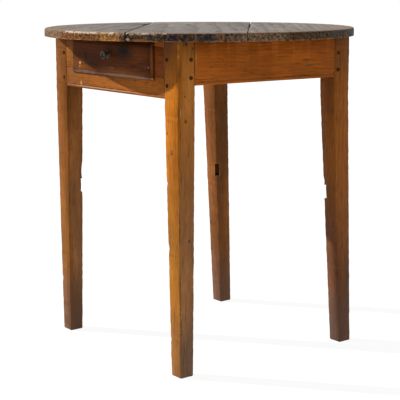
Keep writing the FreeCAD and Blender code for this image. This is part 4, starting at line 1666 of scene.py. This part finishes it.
@dataclass(frozen=True)
class Studio:
    """A pale floor, a key light from the front left, a broad side light, and the camera."""

    camera_place: Place = (2.36092, -1.72273, 0.85507)
    azimuth: float = 53.862
    pitch: float = 10.089
    roll: float = 0.114
    focal_pixels: float = 1228.88
    frame_pixels: float = 400.0
    sensor: float = 36.0
    suns: tuple[Sun, ...] = (Sun("key", (1.2, 1.0, -0.98), 4.35, (1.0, 0.96, 0.90), 1.2),
                             Sun("side", (-1.0, -0.35, -0.08), 0.6, (1.0, 0.95, 0.90), 75.0))
    fill_strength: float = 0.34
    floor_colour: float = 0.18
    floor_glow: float = 0.9
    # The floor glows this much for every ray, a fill light from below in place of bounced light.
    floor_fill_glow: float = 0.35
    floor_size: float = 30.0

    def build(self) -> None:
        """Set up the camera, the lights, the world and the floor."""
        self.add_camera()
        for sun in self.suns:
            sun.add()
        self.light_world()
        self.lay_floor()
        bpy.context.scene.view_settings.view_transform = "Standard"

    def add_camera(self) -> None:
        """Place the camera and make it the scene's own."""
        azimuth, pitch, roll = (math.radians(a) for a in (self.azimuth, self.pitch, self.roll))
        ahead = Vector((-math.sin(azimuth) * math.cos(pitch),
                        math.cos(azimuth) * math.cos(pitch), -math.sin(pitch)))
        right = Vector((math.cos(azimuth), math.sin(azimuth), 0.0))
        down = ahead.cross(right)
        turned_right = right * math.cos(roll) + down * math.sin(roll)
        turned_down = down * math.cos(roll) - right * math.sin(roll)
        data = bpy.data.cameras.new("camera")
        data.sensor_width = self.sensor
        data.lens = self.focal_pixels / self.frame_pixels * self.sensor
        data.clip_start = 0.05
        data.clip_end = 200.0
        camera = bpy.data.objects.new("camera", data)
        bpy.context.scene.collection.objects.link(camera)
        turn = Matrix((turned_right, -turned_down, -ahead)).transposed().to_4x4()
        camera.matrix_world = Matrix.Translation(self.camera_place) @ turn
        bpy.context.scene.camera = camera

    @staticmethod
    def seen_directly(sketch: Sketch) -> Wire:
        """Mask of the rays that see a background: from the camera, mirrors and glass.

        Args:
            sketch: The tree that it is drawn in.

        Returns:
            The mask.
        """
        path = sketch.node("ShaderNodeLightPath")
        mirrored = sketch.math("MAXIMUM", path.outputs["Is Glossy Ray"],
                               path.outputs["Is Transmission Ray"])
        return sketch.math("MAXIMUM", path.outputs["Is Camera Ray"], mirrored)

    def light_world(self) -> None:
        """Give an even pale fill light, and a white background."""
        world = bpy.data.worlds.new("studio")
        world.use_nodes = True
        bpy.context.scene.world = world
        sketch = Sketch(world.node_tree)
        world.node_tree.nodes.clear()
        fill = sketch.node("ShaderNodeBackground", {
            "Color": (1.0, 1.0, 1.0), "Strength": self.fill_strength})
        white = sketch.node("ShaderNodeBackground", {"Color": (1.0, 1.0, 1.0), "Strength": 1.0})
        both = sketch.node("ShaderNodeMixShader", {"Fac": self.seen_directly(sketch)})
        sketch.feed(both.inputs[1], fill.outputs[0])
        sketch.feed(both.inputs[2], white.outputs[0])
        sketch.node("ShaderNodeOutputWorld", {"Surface": both.outputs[0]})

    def lay_floor(self) -> None:
        """Lay the floor, which looks white where nothing shades it, and glows a little for every
        ray as fill light from below.
        """
        bpy.ops.object.select_all(action="DESELECT")
        bpy.ops.mesh.primitive_plane_add(size=self.floor_size)
        floor = bpy.context.active_object
        floor.name = "floor"
        material = bpy.data.materials.new("floor")
        material.use_nodes = True
        sketch = Sketch(material.node_tree)
        material.node_tree.nodes.clear()
        paint = sketch.node("ShaderNodeBsdfDiffuse", {"Color": (self.floor_colour,) * 3})
        glow = sketch.node("ShaderNodeEmission", {"Strength": sketch.math(
            "MAXIMUM", self.floor_fill_glow, sketch.math(
                "MULTIPLY", self.seen_directly(sketch), self.floor_glow))})
        both = sketch.node("ShaderNodeAddShader")
        sketch.feed(both.inputs[0], paint.outputs[0])
        sketch.feed(both.inputs[1], glow.outputs[0])
        sketch.node("ShaderNodeOutputMaterial", {"Surface": both.outputs[0]})
        floor.data.materials.append(material)


# ------------------------------------------------------------------ the table

def dress(node: str, material: Material) -> None:
    """Give a node that keeps its shape its material.

    Args:
        node: The node's name.
        material: The material.
    """
    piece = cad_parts[node]
    piece.data.materials.clear()
    piece.data.materials.append(material)
    log.info("dressed %s with %s", node, material.name)


LEG_PINE = Pine(early=(0.50, 0.157, 0.008), late=(0.38, 0.11, 0.005),
                worn=(0.56, 0.24, 0.055), dirt=(0.055, 0.026, 0.014),
                low_tone=(0.88, 1.08, 2.2))
APRON_PINE = Pine(early=(0.52, 0.138, 0.012), late=(0.41, 0.10, 0.008),
                  worn=(0.52, 0.24, 0.08), dirt=(0.05, 0.022, 0.010), ring_share=0.4)
RAIL_PINE = replace(APRON_PINE, early=(0.30, 0.090, 0.006), late=(0.22, 0.066, 0.004))
LEFT_STILE_PINE = replace(APRON_PINE, early=(0.34, 0.112, 0.010), late=(0.26, 0.085, 0.008))
RIGHT_STILE_PINE = replace(APRON_PINE, early=(0.28, 0.066, 0.008), late=(0.22, 0.05, 0.006))
# Dark, partly as painted shade under the top's overhang; lighter tints paint light back onto
# parts of the front.
DRAWER_PINE = Pine(early=(0.130, 0.036, 0.009), late=(0.090, 0.025, 0.006),
                   worn=(0.24, 0.09, 0.035), dirt=(0.02, 0.010, 0.006), ring_share=0.5,
                   wear=0.5, wear_reach=2.5 * MM, specular=0.03)
INSIDE_PINE = Pine(early=(0.50, 0.33, 0.17), late=(0.36, 0.21, 0.10),
                   worn=(0.55, 0.38, 0.21), dirt=(0.10, 0.065, 0.04), roughness=0.75,
                   wear=0.3)
PEG_WOOD = Pine(early=(0.095, 0.026, 0.005), late=(0.05, 0.014, 0.003),
                worn=(0.26, 0.10, 0.03), dirt=(0.022, 0.008, 0.002), wear=0.6,
                wear_reach=0.8 * MM, specular=0.02)
IRON = OldMetal(metal=(0.09, 0.065, 0.05), tarnish=(0.045, 0.022, 0.010), tarnished=0.7,
                metallic=0.8, roughness=0.55, edge=(0.16, 0.12, 0.09))
DRAWER_NAIL = OldMetal(metal=(0.12, 0.035, 0.010), tarnish=(0.07, 0.02, 0.006),
                       tarnished=0.8, metallic=0.0, roughness=0.6, edge=(0.14, 0.045, 0.014))
BRASS = OldMetal(metal=(0.10, 0.075, 0.05), tarnish=(0.020, 0.020, 0.012), tarnished=0.55,
                 metallic=0.6, roughness=0.42, edge=(0.17, 0.125, 0.09), edge_amount=0.9)
FRONT_FACE, SIDE_FACE = 242.5, 256.0  # millimetres from the middle to the frame's faces
FRONT_SPAN, SIDE_SPAN = (-205.5, 205.5), (-197.5, 197.5)  # millimetres between the legs
OPENING_HALF = 156.0  # millimetres
DARK: Colour = (0.05, 0.018, 0.005)
BARE: Colour = (0.62, 0.32, 0.13)


def legs(effects: Effects) -> list[Leg]:
    """Describe the four legs, each with its own tone, marks and broken arrises.

    Args:
        effects: The shared effects.

    Returns:
        The legs.
    """
    return [
        Leg(effects, "front", "left",
            replace(LEG_PINE, early=(0.26, 0.082, 0.009), late=(0.20, 0.062, 0.006),
                    low_tone=(1.1, 1.3, 2.2)), 1.3,
            # Painted light: the shaded inner face is lightened.
            tints_and_painted_light=(Mark((-207, -211, 390), (14, 34, 430), (0.38, 0.14, 0.032), 0.85, 0.05, 0.3),),
            # The first mark is the dark scar of a broken arris: rough wood, and painted shade in
            # the hollow.
            marks=(Mark((-208, -200, 400), (9, 9, 22), DARK, 0.75, 0.25),
                   Mark((-240, -243, 210), (4, 3, 30), DARK, 0.35, 0.3)),
            chips=(Chip((-208, -200, 400), (10, 10, 23), (-1, -1, 0), 3.0),
                   Chip((-250, -242, 130), (5, 5, 9), (1, 1, 0), 1.6))),
        Leg(effects, "front", "right", LEG_PINE, 2.6,
            tints_and_painted_light=(Mark((259, -216, 300), (10, 32, 520), (0.53, 0.200, 0.040), 0.85, 0.05, 0.3),
                   Mark((259, -220, 40), (10, 34, 120), (0.28, 0.125, 0.036), 0.8, 0.1, 0.7),
                   # Painted shade: the upper front is darkened under the top's overhang.
                   Mark((225, -243, 745), (34, 8, 85), (0.15, 0.042, 0.005), 0.75, 0.1, 0.8)),
            marks=(Mark((232, -243, 496), (7, 3, 6.5), DARK, 0.75, 0.2),
                   Mark((257, -240, 330), (4, 2.2, 40), DARK, 0.5, 0.5),
                   Mark((257, -240, 190), (4, 2.0, 60), DARK, 0.5, 0.5),
                   Mark((257, -238, 120), (4, 2.5, 22), DARK, 0.5, 0.4),
                   Mark((231, -243, 497), (3, 3, 3), (0.45, 0.17, 0.03), 0.8),
                   Mark((216, -243, 536), (3, 3, 4), DARK, 0.7),
                   Mark((213, -243, 427), (4, 3, 3), BARE, 0.8),
                   Mark((217, -243, 285), (4, 3, 6), BARE, 0.8),
                   Mark((218, -243, 242), (2.5, 3, 3), BARE, 0.7),
                   Mark((223, -243, 83), (3.5, 3, 6), DARK, 0.8),
                   Mark((257, -203, 716), (3, 3, 4), DARK, 0.7),
                   Mark((257, -225, 616), (3, 2.5, 3), DARK, 0.7),
                   Mark((257, -214, 607), (3, 2, 2), DARK, 0.7),
                   Mark((257, -223, 564), (3, 5, 6), DARK, 0.7, 0.2),
                   Mark((257, -236, 583), (4, 1.6, 14), BARE, 0.8, 0.1),
                   Mark((257, -240, 583), (4, 1.2, 15), DARK, 0.8, 0.1),
                   Mark((257, -240, 662), (4, 1.3, 11), DARK, 0.8, 0.1),
                   Mark((257, -241, 720), (4, 3, 8), BARE, 0.5, 0.6),
                   Mark((257, -241, 700), (4, 3, 6), BARE, 0.4, 0.6),
                   Mark((257, -215, 304), (4, 5, 5.5), (0.07, 0.05, 0.04), 0.7, 0.2),
                   Mark((257, -237, 100), (4, 2.2, 2.2), DARK, 0.9, 0.05)),
            chips=(Chip((211, -243.5, 427), (5, 5, 7), (1, 1, 0), 2.0),
                   Chip((215, -243, 285), (6, 6, 9), (1, 1, 0), 2.6),
                   Chip((216, -243, 242), (4, 4, 5), (1, 1, 0), 1.6),
                   Chip((221, -242, 83), (4, 4, 5), (1, 1, 0), 1.6),
                   Chip((257, -243, 570), (5, 5, 7), (-1, 1, 0), 2.2),
                   Chip((257, -243, 720), (5, 5, 12), (-1, 1, 0), 1.4)),
            foot_dirt=0.3),
        Leg(effects, "back", "left",
            replace(LEG_PINE, early=(0.275, 0.094, 0.020), late=(0.21, 0.072, 0.015),
                    low_tone=(1.15, 1.2, 1.4)), 3.9,
            # Painted shade: the inner face is darkened.
            tints_and_painted_light=(Mark((-207, 228, 420), (13, 36, 210), (0.13, 0.046, 0.012), 0.8, 0.1, 0.7),)),
        Leg(effects, "back", "right",
            replace(LEG_PINE, early=(0.33, 0.105, 0.016), late=(0.26, 0.08, 0.012),
                    low_tone=(0.9, 1.0, 1.7)), 5.2,
            tints_and_painted_light=(Mark((234, 216, 120), (40, 22, 300), (0.21, 0.072, 0.018), 0.85, 0.05, 0.5),
                   Mark((259, 250, 130), (8, 20, 170), (0.14, 0.066, 0.022), 0.85, 0.1, 0.8)),
            # The first mark is the dark scar of a broken arris: rough wood, and painted shade in
            # the hollow.
            marks=(Mark((211.5, 206.5, 388), (8, 8, 11), DARK, 0.75, 0.25),
                   Mark((257, 215, 640), (4, 1.2, 80), DARK, 0.4, 0.1)),
            chips=(Chip((211.5, 206.5, 388), (8, 8, 11), (1, 1, 0), 2.0),)),
    ]


def frame_boards(effects: Effects) -> list[FrameBoard]:
    """Describe the aprons, the rail and the stiles between the legs.

    Args:
        effects: The shared effects.

    Returns:
        The boards.
    """
    hole = (3, 1.8, 1.8)
    return [
        FrameBoard(effects, "apron_back", APRON_PINE, Grain.ACROSS, 180.0, FRONT_FACE,
                   FRONT_SPAN, 0.0),
        FrameBoard(effects, "apron_left", APRON_PINE, Grain.DEEP, -90.0, SIDE_FACE,
                   SIDE_SPAN, 0.4),
        FrameBoard(effects, "apron_right", APRON_PINE, Grain.DEEP, 90.0, SIDE_FACE,
                   SIDE_SPAN, 1.3,
                   # Painted shade: the back end is darkened, where the top overhangs less and
                   # more light reaches it.
                   tints_and_painted_light=(Mark((257, 205, 690), (6, 95, 120), (0.35, 0.092, 0.010), 0.9, 0.05,
                               0.7),),
                   # The first mark is a painted highlight: a light line down the apron's front
                   # edge.
                   marks=(Mark((256, -195, 693), (3, 1.6, 24), BARE, 0.5, 0.2),
                          *(Mark((256, y, z), hole, DARK, 0.9, 0.05) for y, z in (
                              (-155, 711), (-124, 689), (-156, 676), (-101, 675))))),
        FrameBoard(effects, "front_rail", RAIL_PINE, Grain.ACROSS, 0.0, FRONT_FACE,
                   FRONT_SPAN, 0.7,
                   tints_and_painted_light=(Mark((-165, -242, 632), (40, 5, 20), (0.33, 0.110, 0.015), 0.6, 0.1,
                               0.9),
                          # Painted light: the right part of the rail, which the top shades, is
                          # lightened.
                          Mark((118, -242, 634), (112, 6, 40), (0.48, 0.140, 0.012), 0.9, 0.1,
                               0.5)),
                   marks=(Mark((-139, -242, 620), (3.5, 5, 9), (0.60, 0.34, 0.18), 0.7),
                          # Wear and a painted highlight: a light line along the top of the bead.
                          Mark((-40, -242, 613.5), (190, 5, 1.4), (0.60, 0.37, 0.23), 0.5,
                               0.4))),
        FrameBoard(effects, "front_stile_left", LEFT_STILE_PINE, Grain.ACROSS, 0.0, FRONT_FACE,
                   (FRONT_SPAN[0], -OPENING_HALF), 1.4, beaded=False, tenons=(-1,)),
        FrameBoard(effects, "front_stile_right", RIGHT_STILE_PINE, Grain.ACROSS, 0.0,
                   FRONT_FACE, (OPENING_HALF, FRONT_SPAN[1]), 2.1, beaded=False, tenons=(1,)),
    ]


def drawer_tints_and_painted_light() -> tuple[Mark, ...]:
    """Lighter stretches of the drawer's front, at its right, along its foot and at its left:
    painted light on its dark, shaded front.

    Returns:
        The stretches.
    """
    return (
        Mark((118, -252, 700), (60, 4, 40), (0.21, 0.058, 0.012), 0.75, 0.1, 0.9),
        Mark((30, -252, 655), (170, 4, 15), (0.30, 0.095, 0.026), 0.9, 0.15, 0.9),
        Mark((-126, -252, 662), (52, 6, 24), (0.31, 0.100, 0.014), 0.85, 0.1, 0.8))


def drawer_marks() -> tuple[Mark, ...]:
    """Stains, worn borders and specks of the drawer's front; the worn bottom border is painted
    darker where lit and lighter where shaded.

    Returns:
        The marks.
    """
    speck = (0.60, 0.34, 0.20)
    return (
        # Worn bottom border: the left half is painted darker where the light falls, the right
        # half lighter where the top shades it.
        Mark((-110, -247, 649), (70, 6, 5.8), (0.24, 0.145, 0.10), 0.9, 0.15, 0.4),
        Mark((60, -247, 649), (125, 6, 5.8), (0.37, 0.225, 0.155), 0.9, 0.15, 0.4),
        Mark((-166, -248, 686), (4.2, 6, 42), (0.30, 0.14, 0.08), 0.6, 0.25, 0.6),
        Mark((166, -248, 686), (4.2, 6, 42), (0.34, 0.13, 0.05), 0.6, 0.25, 0.6),
        Mark((-100, -252, 685), (5.5, 4, 15), (0.02, 0.011, 0.008), 0.75, 0.1),
        Mark((62, -252, 704), (46, 4, 23), (0.010, 0.013, 0.012), 0.9, 0.3, 0.8),
        Mark((5, -252, 700), (26, 4, 20), (0.04, 0.014, 0.006), 0.6, 0.2, 0.9),
        Mark((-127, -252, 669), (4.5, 4, 4), speck, 0.95, 0.2, 0.3),
        Mark((-128, -252, 661), (3, 4, 3), speck, 0.6, 0.08),
        Mark((159, -252, 673), (3, 4, 3), speck, 0.5, 0.08),
        Mark((17, -252, 664), (2.5, 4, 2.5), speck, 0.6, 0.08),
        Mark((7, -252, 665), (2.5, 4, 2.5), speck, 0.6, 0.08),
        Mark((168, -248, 647), (6, 5, 5), (0.60, 0.24, 0.07), 0.8))


def build_table(effects: Effects) -> None:
    """Build every sub-assembly and dress every node.

    Args:
        effects: The shared effects.
    """
    RoundTop(effects).build()
    for leg in legs(effects):
        leg.build()
    for board in frame_boards(effects):
        board.build()
    DrawerFront(effects, DRAWER_PINE, drawer_tints_and_painted_light(), drawer_marks()).build()
    for material, nodes in (
            (APRON_PINE.material("top_rail", effects, Grain.ACROSS, 1.8), ("front_top_rail",)),
            (INSIDE_PINE.material("inside_across", effects, Grain.ACROSS, 1.1),
             ("drawer_back", "drawer_bottom")),
            (INSIDE_PINE.material("inside_deep", effects, Grain.DEEP, 2.1),
             ("drawer_runner_left", "drawer_runner_right", "drawer_guide_left",
              "drawer_guide_right", "drawer_kicker_left", "drawer_kicker_right",
              "drawer_side_left", "drawer_side_right")),
            (INSIDE_PINE.material("inside_seams", effects, Grain.SEAMS, 2.9),
             ("top_tongue_left", "top_tongue_right")),
            (PEG_WOOD.material("pegs", effects, Grain.ACROSS, 1.0),
             ("pegs_back", "pegs_left", "pegs_right", "pegs_front")),
            (IRON.material("iron", effects),
             ("top_rail_nails", "top_nails", "guide_nails", "drawer_side_nails",
              "drawer_bottom_nails", "knob_nut")),
            (DRAWER_NAIL.material("drawer_nails", effects), ("drawer_front_nails",)),
            (BRASS.material("brass", effects), ("drawer_knob", "knob_washer"))):
        for node in nodes:
            dress(node, material)


def main() -> None:
    """Build the scene."""
    logging.basicConfig(level=logging.INFO, format="%(name)s: %(message)s")
    Studio().build()
    build_table(Effects())


if __name__ == "__main__":
    main()
